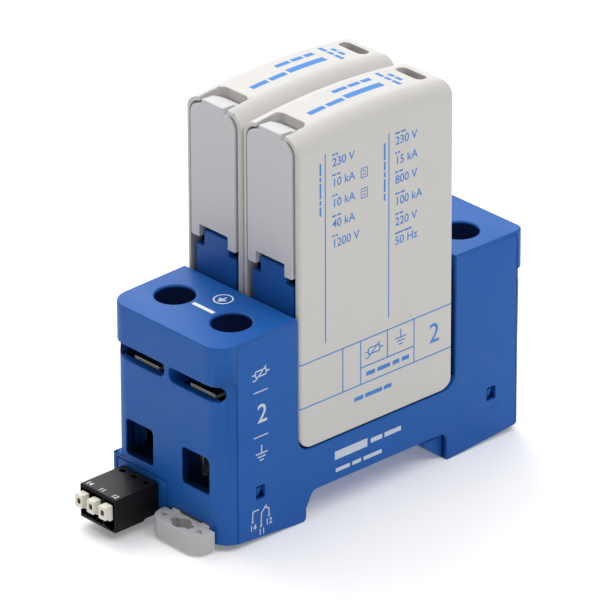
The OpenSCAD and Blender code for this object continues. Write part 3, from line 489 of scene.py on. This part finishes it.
def moulded(name, colour, rough, grain=0.22 * MM, depth=0.010 * MM, drift=0.05, coat=0.0, gloss=0.2):
    """Injection-moulded plastic: spark grain, slow drift of colour and gloss, faint flow streaks."""
    material, add, shader, join = start_material(name)
    spark = object_noise(add, grain)
    cloud = object_noise(add, CLOUD_SIZE)
    flow = object_noise(add, FLOW_SIZE, STREAK_DETAIL, FLOW_STRETCH)
    base = tone(add, cloud, scaled(colour, 1 - drift), scaled(colour, 1 + drift))
    fleck = tone(add, ranged(add, spark, 0.0, 1.0), FLECK_TONE, WHITE)
    mix = add("ShaderNodeMix", [(MIX_A, base), (MIX_B, fleck)], data_type="RGBA", blend_type="MULTIPLY")
    mix.inputs[MIX_FACTOR].default_value = 1.0
    join(mix.outputs[MIX_OUT], "Base Color")
    join(ranged(add, flow, rough - ROUGH_SPREAD, rough + ROUGH_SPREAD), "Roughness")
    bump = add("ShaderNodeBump", [("Height", spark)], Strength=GRAIN_STRENGTH, Distance=depth)
    join(bump.outputs["Normal"], "Normal")
    shader.inputs["Specular IOR Level"].default_value = gloss
    shader.inputs["Coat Weight"].default_value = coat
    return material


def plated(name, colour, rough, metal=1.0):
    """Drawn and plated metal: fine streaks along the strip and cloudy gloss."""
    material, add, shader, join = start_material(name)
    streak = object_noise(add, STREAK_SIZE, STREAK_DETAIL, STREAK_STRETCH)
    cloud = object_noise(add, PLATE_CLOUD)
    join(tone(add, cloud, *(scaled(colour, share) for share in PLATE_TONES)), "Base Color")
    join(ranged(add, streak, *(rough + spread for spread in PLATE_SPREAD)), "Roughness")
    bump = add("ShaderNodeBump", [("Height", streak)], Strength=STREAK_STRENGTH, Distance=STREAK_DEPTH)
    join(bump.outputs["Normal"], "Normal")
    shader.inputs["Metallic"].default_value = metal
    return material


def inked(name, colour):
    """Pad-printed ink: slightly uneven cover and a dull gloss."""
    material, add, shader, join = start_material(name)
    cover = object_noise(add, INK_GRAIN)
    join(tone(add, cover, *(scaled(colour, share) for share in INK_TONES)), "Base Color")
    join(ranged(add, cover, *INK_ROUGH), "Roughness")
    shader.inputs["Specular IOR Level"].default_value = INK_GLOSS
    return material


# Finishes by slot of the record, and after those by detail: maker, name, colour setting, other values
FINISHES = {
    "blue": (moulded, "moulded_blue", "base_blue", {"rough": 0.52, "gloss": 0.24}),
    "white": (moulded, "moulded_white", "shell_white", {"rough": 0.45, "drift": 0.02}),
    "panel_grey": (moulded, "moulded_panel", "panel_grey", {"rough": 0.48, "drift": 0.02}),
    "clip_grey": (moulded, "moulded_clip", "clip_grey", {"rough": 0.42, "drift": 0.03}),
    "black": (moulded, "moulded_black", "plug_black", {"rough": 0.42, "drift": 0.10, "gloss": 0.15}),
    "cream": (moulded, "moulded_cream", "lever_cream", {"rough": 0.40, "drift": 0.04}),
    "red": (moulded, "moulded_red", "flag_red", {"rough": 0.35, "drift": 0.04}),
    "ceramic": (moulded, "dipped_epoxy", "ceramic_blue",
                {"rough": 0.30, "grain": 0.8 * MM, "depth": 0.05 * MM, "coat": 0.4}),
    "copper": (plated, "tinned_copper", "strip_tin", {"rough": 0.45, "metal": 0.2}),
    "steel": (plated, "zinc_plate", "zinc", {"rough": 0.32}),
    # Painted shade: the dark blue inside the chambers and wire entries
    "chamber": (moulded, "chamber_blue", "chamber_blue", {"rough": 0.55}),
    # Painted shade: the dark brown in the lever eyes
    "eye": (moulded, "lever_eye", "lever_eye", {"rough": 0.60}),
    # Painted shade on the tab tops, and a bright tab tip that is partly a painted highlight
    "tab_top": (plated, "dull_tin", "dull_tin", {"rough": 0.60}),
    "tab_tip": (plated, "sheared_tip", "sheared_tip", {"rough": 0.50, "metal": 0.0}),
    "side_print": (inked, "pale_ink", "ink_pale", {}),
    "top_print": (inked, "white_ink", "ink_white", {}),
    "module_print": (inked, "blue_ink", "ink_blue", {}),
}


def finish_of(key):
    """The finish of a slot or a detail, made when it is first asked for."""
    make, name, colour, values = FINISHES[key]
    return bpy.data.materials.get(name) or make(name, getattr(settings().finish, colour), **values)


# Meshes


def place_piece(piece, node, stands_for_it):
    """Puts a finished piece on a node's body, and hides the node when the piece stands for it."""
    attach(piece, BODY_OF[node])
    if stands_for_it:
        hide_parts(node)


def linked(name, data):
    """A new object of some data, in the scene."""
    thing = bpy.data.objects.new(name, data)
    bpy.context.scene.collection.objects.link(thing)
    return thing


def evaluated_mesh(thing):
    """What modifiers or letters come to, as a new plain mesh."""
    bpy.context.view_layer.update()
    graph = bpy.context.evaluated_depsgraph_get()
    return bpy.data.meshes.new_from_object(thing.evaluated_get(graph))


def apply_modifiers(piece):
    """Turns the evaluated piece into a plain mesh."""
    mesh = evaluated_mesh(piece)
    old = piece.data
    piece.modifiers.clear()
    piece.data = mesh
    bpy.data.meshes.remove(old)
    mesh.name = piece.name


def merged_copy(node, name):
    """A copy of a node's mesh with whole flat faces instead of loose triangles."""
    build = bmesh.new()
    build.from_mesh(frame["nodes"][node].data)
    bmesh.ops.remove_doubles(build, verts=build.verts, dist=MERGE_REACH)
    bmesh.ops.dissolve_limit(build, angle_limit=FLAT, verts=build.verts, edges=build.edges)
    for face in build.faces:
        face.smooth = True
    mesh = bpy.data.meshes.new(name)
    build.to_mesh(mesh)
    build.free()
    for spare in ("custom_normal", "sharp_face", "sharp_edge"):
        if spare in mesh.attributes:
            mesh.attributes.remove(mesh.attributes[spare])
    return mesh


def surface_of(*nodes):
    """The faces of some nodes, to measure against."""
    points, faces = [], []
    for node in nodes:
        mesh = frame["nodes"][node].data
        first = len(points)
        points += [vertex.co for vertex in mesh.vertices]
        faces += [[first + i for i in face.vertices] for face in mesh.polygons]
    return BVHTree.FromPolygons(points, faces)


def weigh_edges(mesh, radius_of, knots):
    """Gives each sharp edge its rounding as a share of the widest one, with none at the knots."""
    build = bmesh.new()
    build.from_mesh(mesh)
    layer = build.edges.layers.float.new("bevel_weight_edge")
    sharp = [edge for edge in build.edges if edge.is_manifold and edge.calc_face_angle() > SHARP]
    radii = {edge: radius_of(*(vertex.co for vertex in edge.verts))
             for edge in sharp if knots.isdisjoint(vertex.index for vertex in edge.verts)}
    widest = max(radii.values())
    for edge, radius in radii.items():
        edge[layer] = radius / widest
    weighed = bpy.data.meshes.new(mesh.name)
    build.to_mesh(weighed)
    build.free()
    return weighed, widest


def round_edges(name, mesh, radius_of):
    """Rounds the sharp edges of a mesh, apart from too tight corners, and keeps flat faces flat."""
    surface = BVHTree.FromPolygons([v.co for v in mesh.vertices], [f.vertices for f in mesh.polygons])
    corners = KDTree(len(mesh.vertices))
    for vertex in mesh.vertices:
        corners.insert(vertex.co, vertex.index)
    corners.balance()
    knots = set()
    for attempt in range(ROUNDING_TRIES):
        weighed, width = weigh_edges(mesh, radius_of, knots)
        piece = linked(name, weighed)
        bevel = piece.modifiers.new("Edges", "BEVEL")
        bevel.width = width
        bevel.segments = ROUNDING_STEPS
        bevel.limit_method = "WEIGHT"
        bevel.use_clamp_overlap = False
        bevel.miter_outer = "MITER_ARC"
        normals = piece.modifiers.new("Shading", "WEIGHTED_NORMAL")
        normals.keep_sharp = False
        normals.weight = FLAT_FACE_WEIGHT
        apply_modifiers(piece)
        strays = [vertex.co for vertex in piece.data.vertices
                  if surface.find_nearest(vertex.co)[3] > STRAY_SHARE * width]
        if not strays:
            return piece
        for stray in strays:
            nearest = corners.find(stray)[0]
            knots |= {index for _, index, _ in corners.find_range(nearest, width * 2 ** attempt)}
        bpy.data.objects.remove(piece)
    raise ValueError("no rounding fits %s" % name)


def soften(node, radius, shape=None):
    """A rounded copy of a node that stands for it; the radius may depend on the edge's ends."""
    mesh = merged_copy(node, node + "_flat")
    if shape:
        shape(mesh)
    piece = round_edges(node + "_moulding", mesh, radius if callable(radius) else lambda a, b: radius)
    bpy.data.meshes.remove(mesh)
    piece.data.materials.clear()
    piece.data.materials.append(finish_of(SLOT_OF[node]))
    place_piece(piece, node, True)
    return piece


def base_radius(covers):
    """Rounding of the base's edges: none along the covers, more round the block tops and holes."""
    sizes = settings().sizes
    lid_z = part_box("cover_right")[1][2]
    module_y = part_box("shell_right")[1][1]

    def on_top(point):
        return point.z > lid_z + FACE_REACH and abs(point.y) > module_y - TOP_LAP

    def radius(a, b):
        middle = (a + b) / 2
        if covers.find_nearest(middle, SEAM_REACH)[0] is not None:
            return 0.0
        if on_top(a) and on_top(b):
            reach = math.hypot(abs(middle.x) - POLE_W / 2, abs(middle.y) - SCREW_Y)
            return sizes.rim_edge if reach < RIM_REACH else sizes.top_edge
        return sizes.base_edge

    return radius


def cover_radius(base):
    """Rounding of a cover's edges: none where it meets the base."""
    sizes = settings().sizes

    def radius(a, b):
        met = base.find_nearest((a + b) / 2, SEAM_REACH)[0]
        return 0.0 if met is not None else sizes.base_edge

    return radius


def extra_finish(piece, key):
    """Adds a finish to a piece and gives its index there."""
    piece.data.materials.append(finish_of(key))
    return len(piece.data.materials) - 1


def shade_chambers(piece):
    """Paints shade on the walls inside the terminal chambers and wire entries: a dark blue finish stands
    in for the shade that falls there.
    """
    shaded = extra_finish(piece, "chamber")
    for face in piece.data.polygons:
        x, y, z = (abs(c) for c in face.center)
        aside = abs(x - POLE_W / 2)
        in_chamber = x < CHAMBER_X and CHAMBER_Y[0] < y < CHAMBER_Y[1] and z < CHAMBER_TOP
        in_entry = aside < ENTRY_X and CHAMBER_Y[0] < y < ENTRY_Y and ENTRY_Z[0] < z < ENTRY_Z[1]
        # Painted shade on the chamber and entry walls
        if in_chamber or in_entry:
            face.material_index = shaded


def eyed_lever(node):
    """A release lever whose eye for a driver's tip gets painted shade: a dark brown on the faces inside
    it.
    """
    low, high = (Vector(corner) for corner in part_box(node))
    piece = soften(node, settings().sizes.small_edge)
    shaded = extra_finish(piece, "eye")
    for face in piece.data.polygons:
        across, drop = face.center.x - low.x, high.z - face.center.z
        inside = EYE_X[0] < across < EYE_X[1] and EYE_Z[0] < drop < EYE_Z[1]
        # Painted shade on the faces inside the eye
        if inside and face.center.y > low.y + FACE_REACH:
            face.material_index = shaded


def contact_bar(node):
    """A contact bar whose tab top gets painted shade, near black, and whose tip a bright colour: partly
    the burnished band of a sheared edge, partly a painted highlight.
    """
    sizes = settings().sizes
    low, high = (Vector(corner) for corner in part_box(node))
    tip = max(abs(low.y), abs(high.y))

    def radius(a, b):
        at_tip = min(abs(a.y), abs(b.y)) > tip - FACE_REACH and min(a.z, b.z) > high.z - FACE_REACH
        return sizes.tab_edge if at_tip else sizes.small_edge

    piece = soften(node, radius)
    # The dull finish is painted shade on the tab's top; the bright one on its tip is partly a painted
    # highlight
    dull = extra_finish(piece, "tab_top")
    bright = extra_finish(piece, "tab_tip")
    for face in piece.data.polygons:
        if face.center.z > high.z - TAB_HEIGHT:
            face.material_index = bright if abs(face.center.y) > tip - sizes.tab_edge else dull


def paint_node(node):
    """Gives a node that keeps its shape the finish of its slot."""
    thing = frame["nodes"][node]
    thing.data.materials.clear()
    thing.data.materials.append(finish_of(SLOT_OF[node]))


def squeezed_spring(node):
    """A copy of a spring with its finish, on the spring's body, that stands for the spring."""
    piece = linked(node + "_wire", merged_copy(node, node + "_wire"))
    piece.data.materials.append(finish_of(SLOT_OF[node]))
    place_piece(piece, node, True)
    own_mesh(piece)


# Geometry node trees


def new_tree(name, inputs):
    """A geometry node group, its named inputs, a maker of linked nodes and one of the tree's end."""
    tree = bpy.data.node_groups.new(name, "GeometryNodeTree")
    tree.interface.new_socket("Geometry", in_out="INPUT", socket_type="NodeSocketGeometry")
    for label, kind in inputs:
        tree.interface.new_socket(label, in_out="INPUT", socket_type="NodeSocket" + kind)
    tree.interface.new_socket("Geometry", in_out="OUTPUT", socket_type="NodeSocketGeometry")
    entry = tree.nodes.new("NodeGroupInput")
    close = tree.nodes.new("NodeGroupOutput")

    def add(kind, links=(), values=(), **fields):
        node = tree.nodes.new(kind)
        for key, value in fields.items():
            setattr(node, key, value)
        for key, value in values:
            node.inputs[key].default_value = value
        for key, source in links:
            tree.links.new(source, node.inputs[key])
        return node

    def end(geometry):
        real = add("GeometryNodeRealizeInstances", [("Geometry", geometry)])
        coat = add("GeometryNodeSetMaterial", [
            ("Geometry", real.outputs[0]), ("Material", entry.outputs["Material"])])
        tree.links.new(coat.outputs[0], close.inputs[0])

    return tree, entry.outputs, add, end


def coil_tree(name):
    """Round wire wound along Z from its place."""
    tree, given, add, end = new_tree(name, [
        ("Turns", "Float"), ("Radius", "Float"), ("Length", "Float"), ("Wire", "Float"),
        ("Sides", "Int"), ("Place", "Vector"), ("Material", "Material")])
    spiral = add("GeometryNodeCurveSpiral", [
        ("Rotations", given["Turns"]), ("Start Radius", given["Radius"]),
        ("End Radius", given["Radius"]), ("Height", given["Length"])], [("Resolution", TURN_STEPS)])
    section = add("GeometryNodeCurvePrimitiveCircle", [
        ("Radius", given["Wire"]), ("Resolution", given["Sides"])])
    tube = add("GeometryNodeCurveToMesh", [
        ("Curve", spiral.outputs[0]), ("Profile Curve", section.outputs[0])], [("Fill Caps", True)])
    smooth = add("GeometryNodeSetShadeSmooth", [("Geometry", tube.outputs[0])])
    moved = add("GeometryNodeTransform", [
        ("Geometry", smooth.outputs[0]), ("Translation", given["Place"])])
    end(moved.outputs[0])
    return tree


def stamp_tree(name):
    """Small bars on points, each with its own size and turn."""
    tree, given, add, end = new_tree(name, [("Cuts", "Int"), ("Material", "Material")])
    bar = add("GeometryNodeMeshCube", [("Vertices X", given["Cuts"])], [("Size", (1, 1, 1))])
    size, turn = (
        add("GeometryNodeInputNamedAttribute", values=[("Name", label)], data_type="FLOAT_VECTOR")
        for label in ("bar_size", "bar_turn"))
    spread = add("GeometryNodeInstanceOnPoints", [
        ("Points", given["Geometry"]), ("Instance", bar.outputs[0]),
        ("Scale", size.outputs[0]), ("Rotation", turn.outputs[0])])
    end(spread.outputs[0])
    return tree


# Node groups by name
TREES = {"wound_wire": coil_tree, "printed_bars": stamp_tree}


def grown(name, mesh, group, values):
    """A piece grown from a mesh by a node group, which is made when first needed, as a plain mesh."""
    tree = bpy.data.node_groups.get(group) or TREES[group](group)
    keys = {item.name: item.identifier for item in tree.interface.items_tree if item.in_out == "INPUT"}
    piece = linked(name, mesh)
    modifier = piece.modifiers.new("Grow", "NODES")
    modifier.node_group = tree
    for label, value in values.items():
        modifier[keys[label]] = value
    apply_modifiers(piece)
    return piece


def threaded_screw(node):
    """A screw whose shaft is cut down to its core and carries a wound ridge as its thread."""
    sizes = settings().sizes
    low, high = (Vector(corner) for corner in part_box(node))
    axis = (low + high) / 2
    core = SCREW_R - sizes.thread_depth

    def cut_core(mesh):
        for vertex in mesh.vertices:
            reach = Vector((vertex.co.x - axis.x, vertex.co.y - axis.y))
            if abs(reach.length - SCREW_R) < SHAFT_REACH:
                reach *= core / SCREW_R
                vertex.co.x, vertex.co.y = axis.x + reach.x, axis.y + reach.y

    soften(node, sizes.small_edge, cut_core)
    name = node + "_thread"
    start = low.z + sizes.thread_pitch
    length = high.z - SCREW_HEAD - sizes.thread_pitch - start
    ridge = grown(name, bpy.data.meshes.new(name), "wound_wire", {
        "Turns": length / sizes.thread_pitch, "Radius": core, "Length": length,
        "Wire": sizes.thread_depth * RIDGE_SHARE, "Sides": RIDGE_SIDES,
        "Place": (axis.x, axis.y, start), "Material": finish_of(SLOT_OF[node])})
    place_piece(ridge, node, False)


def stamped(name, strokes, material):
    """Printed strokes, each a middle, a length, a width and a turn in the plane of the print."""
    layer = settings().sizes.ink_layer
    mesh = bpy.data.meshes.new(name)
    mesh.from_pydata([(u, v, 0) for u, v, *_ in strokes], [], [])
    sizes = [(length, width, 2 * layer) for _, _, length, width, _ in strokes]
    turns = [(0, 0, turn) for *_, turn in strokes]
    for label, values in (("bar_size", sizes), ("bar_turn", turns)):
        column = mesh.attributes.new(label, "FLOAT_VECTOR", "POINT")
        column.data.foreach_set("vector", [number for value in values for number in value])
    return grown(name, mesh, "printed_bars", {"Cuts": STROKE_CUTS, "Material": material})


def lettered(build, text, u, v, height):
    """Adds a word to a mesh in the plane of the print, from its lower left corner."""
    curve = bpy.data.curves.new("word", "FONT")
    curve.body = text
    curve.size = height * MM / CAP_SHARE
    curve.resolution_u = LETTER_STEPS
    curve.offset = LETTER_WEIGHT
    curve.extrude = settings().sizes.ink_layer
    thing = linked("word", curve)
    mesh = evaluated_mesh(thing)
    mesh.transform(Matrix.Translation((u * MM, v * MM, 0)) @ Matrix.Diagonal((LETTER_WIDTH, 1, 1, 1)))
    build.from_mesh(mesh)
    bpy.data.objects.remove(thing)
    bpy.data.curves.remove(curve)
    bpy.data.meshes.remove(mesh)


def printed(name, node, across, rise, strokes, words, finish):
    """A print laid on a node's face: strokes and words in the face's own plane."""
    material = finish_of(finish)
    sheet = stamped(name, strokes, material)
    build = bmesh.new()
    build.from_mesh(sheet.data)
    for word in words:
        lettered(build, *word)
    out = across.cross(rise)
    surface = surface_of(node)
    for vertex in build.verts:
        flat = across * vertex.co.x + rise * vertex.co.y
        hit = surface.ray_cast(flat + out, -out)[0]
        if hit is None:
            raise ValueError("the print %s misses %s" % (name, node))
        vertex.co = flat + out * (hit.dot(out) + vertex.co.z)
    merge = INK_MERGE_SHARE * settings().sizes.ink_layer
    bmesh.ops.remove_doubles(build, verts=build.verts, dist=merge)
    for face in build.faces:
        face.material_index = 0
    build.to_mesh(sheet.data)
    build.free()
    sheet.data.materials.clear()
    sheet.data.materials.append(material)
    place_piece(sheet, node, False)


# Marks that prints are made of, in millimetres on the plane of a print


def line(u0, v0, u1, v1, width=INK_LINE):
    """A straight stroke from one point to another."""
    run, lift = u1 - u0, v1 - v0
    middle = ((u0 + u1) / 2 * MM, (v0 + v1) / 2 * MM)
    return (*middle, math.hypot(run, lift) * MM, width * MM, math.atan2(lift, run))


def outline(points, width=INK_LINE):
    """Strokes from point to point."""
    return [line(*a, *b, width) for a, b in zip(points, points[1:])]


def boxed(u, v, half_u, half_v, width=INK_LINE):
    """The four sides of a box about its middle."""
    left, right, low, high = u - half_u, u + half_u, v - half_v, v + half_v
    return outline([(left, low), (right, low), (right, high), (left, high), (left, low)], width)


def ring(u, v, radius, width, count=28):
    """A circle of short strokes."""
    turns = [2 * math.pi / count * i for i in range(count + 1)]
    return outline([(u + radius * math.cos(t), v + radius * math.sin(t)) for t in turns], width)


def greeked(rows, upright=False, shift=0.0):
    """Rows of plain bars in place of words."""
    marks = []
    for u, v, lengths, height, gap in rows:
        u += shift
        for length in lengths:
            end = (u, v + length) if upright else (u + length, v)
            marks.append(line(u, v, *end, height))
            u, v = (u, end[1] + gap) if upright else (end[0] + gap, v)
    return marks


def earth_mark(u, v, size, width=INK_LINE):
    """Earth symbol: a stem on three bars that shorten."""
    stem, reach, taper, drop = 0.50 * size, 0.42 * size, 0.14 * size, 0.20 * size
    marks = [line(u, v, u, v + stem, width)]
    for i in range(3):
        half = reach - taper * i
        marks.append(line(u - half, v - drop * i, u + half, v - drop * i, width))
    return marks


def varistor_mark(u, v, size):
    """Varistor symbol: a box on a line, crossed by a kinked slant."""
    long, high, kink, lead = 0.36 * size, 0.16 * size, 0.55 * size, 0.60 * size
    slant = [(u - kink, v - 2 * high), (u - long, v - 2 * high), (u + long, v + 2 * high)]
    leads = [line(u - lead, v, u - long, v), line(u + long, v, u + lead, v)]
    return boxed(u, v, long, high) + outline(slant) + leads


def value_box(u, v):
    """A small upright box with two short lines in it."""
    left, right = u - VALUE_BOX_LINE, u + VALUE_BOX_LINE
    lines = [line(left, v + lift, right, v + lift, VALUE_BOX_WIDTH) for lift in VALUE_BOX_LIFTS]
    return boxed(u, v, *VALUE_BOX_HALF, VALUE_BOX_WIDTH) + lines


def table_rules():
    """The rules on a module's side: two columns above a table with a divided cell."""
    rules = [line(y, low, y, high) for y, low, high in COLUMN_RULES]
    rules += [line(a, z, b, z) for a, b in TABLE_SPANS for z in (TABLE_TOP, TABLE_BOTTOM)]
    rules += [line(y, TABLE_BOTTOM, y, TABLE_TOP) for y in TABLE_POSTS]
    rules.append(line(CELL_POST, CELL_FLOOR, CELL_POST, TABLE_TOP))
    rules.append(line(TABLE_POSTS[1], CELL_FLOOR, TABLE_POSTS[2], CELL_FLOOR))
    return rules


def caption(y, z, length):
    """Two bars in place of a caption above a value."""
    return greeked([(y, z + CAPTION_RISE, (CAPTION_SHARE * length,) * 2, CAPTION_H, CAPTION_GAP)])


# Stage


def set_camera(stage):
    """The camera, turned about the part and looking at its middle."""
    a, e, roll = stage.azimuth, stage.elevation, stage.roll
    across = Vector((math.cos(a), math.sin(a), 0))
    rise = Vector((-math.sin(a) * math.sin(e), math.cos(a) * math.sin(e), math.cos(e)))
    back = Vector((math.sin(a) * math.cos(e), -math.cos(a) * math.cos(e), math.sin(e)))
    right = math.cos(roll) * across + math.sin(roll) * rise
    up = -math.sin(roll) * across + math.cos(roll) * rise
    spot = UP * AIM_Z + back * stage.distance - right * CAMERA_LEFT - up * CAMERA_DOWN
    data = bpy.data.cameras.new("camera")
    data.lens = stage.lens
    data.sensor_width = SENSOR_W
    camera = linked("camera", data)
    turn = Matrix((right, up, back)).transposed()
    camera.matrix_world = Matrix.Translation(spot) @ turn.to_4x4()
    bpy.context.scene.camera = camera


def lay_floor(stage):
    """A wide sheet of pale paper with a faint light of its own, under the part."""
    build = bmesh.new()
    bmesh.ops.create_grid(build, x_segments=FLOOR_CUTS, y_segments=FLOOR_CUTS, size=FLOOR_REACH)
    mesh = bpy.data.meshes.new("floor")
    build.to_mesh(mesh)
    build.free()
    floor = linked("floor", mesh)
    floor.location.z = CAD_BOX[0][2]
    paper, add, shader, join = start_material("floor_paper")
    join(tone(add, object_noise(add, PULP_SIZE), *FLOOR_TONES), "Base Color")
    shader.inputs["Roughness"].default_value = FLOOR_ROUGH
    shader.inputs["Emission Color"].default_value = WHITE
    shader.inputs["Emission Strength"].default_value = stage.floor_glow
    mesh.materials.append(paper)


def hang_lights(stage):
    """Wide soft lights that look at the part, and an even sky."""
    for name, width, place in LIGHTS:
        lamp = bpy.data.lights.new(name, "AREA")
        lamp.energy = getattr(stage, name + "_power")
        lamp.size = width
        spot = Vector(place)
        aim = (UP * LIGHT_AIM_Z - spot).to_track_quat("-Z", "Y")
        linked(name, lamp).matrix_world = Matrix.Translation(spot) @ aim.to_matrix().to_4x4()
    world = bpy.data.worlds.new("studio")
    world.use_nodes = True
    sky = world.node_tree.nodes["Background"]
    sky.inputs["Color"].default_value = WHITE
    sky.inputs["Strength"].default_value = stage.sky
    bpy.context.scene.world = world


# Operators


class ARRESTER_OT_base(bpy.types.Operator):
    """Round the mouldings of the base, its covers and the signal socket"""

    bl_idname = "arrester.dress_base"
    bl_label = "Base Mouldings"

    def execute(self, context):
        shade_chambers(soften("base_frame", base_radius(surface_of("cover_left", "cover_right"))))
        radius = cover_radius(surface_of("base_frame"))
        for node in ("cover_left", "cover_right", "signal_socket"):
            soften(node, radius)
        for node in ("signal_switch", "signal_pins"):
            paint_node(node)
        return {"FINISHED"}


class ARRESTER_OT_base_print(bpy.types.Operator):
    """Print the marks of the base: contact symbol, earth mark, rules and bars"""

    bl_idname = "arrester.print_base"
    bl_label = "Base Print"

    def execute(self, context):
        start, stop = FIELD_RULE_Y
        side = [line(start, z, stop, z, FIELD_RULE_WIDTH) for z in FIELD_RULE_Z]
        side += varistor_mark(*FIELD_VARISTOR) + earth_mark(*FIELD_EARTH)
        for arm in CONTACT_ARMS:
            side += outline(arm)
        for eye in CONTACT_EYES:
            side += ring(*eye, CONTACT_EYE_R, CONTACT_EYE_WIDTH, CONTACT_EYE_SIDES)
        side += greeked(BASE_BARS)
        printed("base_side_print", "cover_right", REAR, UP, side, BASE_NUMBERS, "side_print")
        top = [line(-BLOCK_BAR_X, BLOCK_BAR_Y, BLOCK_BAR_X, BLOCK_BAR_Y, BLOCK_BAR_WIDTH)]
        top += ring(*BLOCK_RING, BLOCK_RING_WIDTH) + earth_mark(*BLOCK_EARTH, BLOCK_EARTH_WIDTH)
        printed("block_top_print", "base_frame", RIGHT, REAR, top, [], "top_print")
        return {"FINISHED"}


class ARRESTER_OT_terminals(bpy.types.Operator):
    """Make threaded screws, clamping cages and contact strips of the terminals"""

    bl_idname = "arrester.dress_terminals"
    bl_label = "Terminals"

    def execute(self, context):
        edge = settings().sizes.small_edge
        for end in ENDS:
            for side in SIDES:
                key = "%s_%s" % (end, side)
                soften("cage_" + key, edge)
                soften("receptacle_" + key, edge)
                contact_bar("bar_" + key)
                threaded_screw("screw_" + key)
        return {"FINISHED"}


class ARRESTER_OT_clip(bpy.types.Operator):
    """Round the rail clip and fit its plated spring"""

    bl_idname = "arrester.dress_clip"
    bl_label = "Rail Clip"

    def execute(self, context):
        soften("rail_clip", settings().sizes.clip_edge)
        squeezed_spring("clip_spring")
        return {"FINISHED"}


class ARRESTER_OT_plug(bpy.types.Operator):
    """Round the signal plug and its levers and print the terminal numbers"""

    bl_idname = "arrester.dress_plug"
    bl_label = "Signal Plug"

    def execute(self, context):
        soften("signal_plug", settings().sizes.small_edge)
        for i in LEVERS:
            eyed_lever("lever_%d" % i)
        numbers = [(text, x, PLUG_NUMBER_Y, PLUG_NUMBER_H) for text, x in PLUG_NUMBERS]
        printed("plug_print", "signal_plug", RIGHT, REAR, [], numbers, "top_print")
        return {"FINISHED"}


class ARRESTER_OT_modules(bpy.types.Operator):
    """Round the module shells and panels and finish what they hold"""

    bl_idname = "arrester.dress_modules"
    bl_label = "Plug-in Modules"

    def execute(self, context):
        sizes = settings().sizes
        for side in SIDES:
            for kind in ("shell_", "panel_"):
                soften(kind + side, sizes.shell_edge)
            for kind in ("core_", "flag_", "varistor_", "blade_front_", "blade_rear_"):
                soften(kind + side, sizes.small_edge)
            paint_node("flag_spring_" + side)
        return {"FINISHED"}


class ARRESTER_OT_module_print(bpy.types.Operator):
    """Print the rated values, rules and bars of the modules"""

    bl_idname = "arrester.print_modules"
    bl_label = "Module Print"

    def execute(self, context):
        marks = table_rules() + varistor_mark(*TABLE_VARISTOR) + earth_mark(*TABLE_EARTH)
        marks += greeked(MODULE_BARS) + greeked(MODULE_UPRIGHTS, True)
        values = []
        for y, rows in VALUE_COLUMNS:
            for text, z, length in rows:
                values.append((text, y, z, VALUE_H))
                marks += caption(y, z, length)
        for middle in VALUE_BOXES:
            marks += value_box(*middle)
        for number, (side, sign) in enumerate(SIDES.items(), 1):
            words = values + [(str(number), *POLE_NUMBER)]
            printed("side_print_" + side, "shell_" + side, REAR, UP, marks, words, "module_print")
            pole = sign * POLE_W / 2 / MM
            top = greeked(TOP_UPRIGHTS, True, pole) + greeked(TOP_BARS, False, pole)
            printed("top_print_" + side, "shell_" + side, RIGHT, REAR, top, [], "module_print")
        return {"FINISHED"}


class ARRESTER_OT_stage(bpy.types.Operator):
    """Set the camera, a pale floor and soft studio lights"""

    bl_idname = "arrester.set_stage"
    bl_label = "Studio Stage"

    def execute(self, context):
        stage = settings().stage
        set_camera(stage)
        lay_floor(stage)
        hang_lights(stage)
        context.scene.view_settings.view_transform = "Standard"
        return {"FINISHED"}


class ARRESTER_PT_panel(bpy.types.Panel):
    """Lists the steps that dress the arrester"""

    bl_label = "Surge Arrester"
    bl_idname = "ARRESTER_PT_panel"
    bl_space_type = "VIEW_3D"
    bl_region_type = "UI"
    bl_category = "Arrester"

    def draw(self, context):
        for step in STEPS:
            self.layout.operator(step.bl_idname)
        for group in (settings().finish, settings().sizes, settings().stage):
            box = self.layout.box()
            for key in group.bl_rna.properties.keys():
                if key not in {"rna_type", "name"}:
                    box.prop(group, key)


STEPS = (ARRESTER_OT_base, ARRESTER_OT_base_print, ARRESTER_OT_terminals, ARRESTER_OT_clip,
         ARRESTER_OT_plug, ARRESTER_OT_modules, ARRESTER_OT_module_print, ARRESTER_OT_stage)
CLASSES = (ArresterFinish, ArresterSizes, ArresterStage, ArresterSettings, *STEPS, ARRESTER_PT_panel)


def register():
    for made in CLASSES:
        bpy.utils.register_class(made)
    bpy.types.Scene.arrester = PointerProperty(type=ArresterSettings)


def unregister():
    del bpy.types.Scene.arrester
    for made in reversed(CLASSES):
        bpy.utils.unregister_class(made)


def main():
    register()
    for step in STEPS:
        group, call = step.bl_idname.split(".")
        getattr(getattr(bpy.ops, group), call)()


if __name__ == "__main__":
    main()
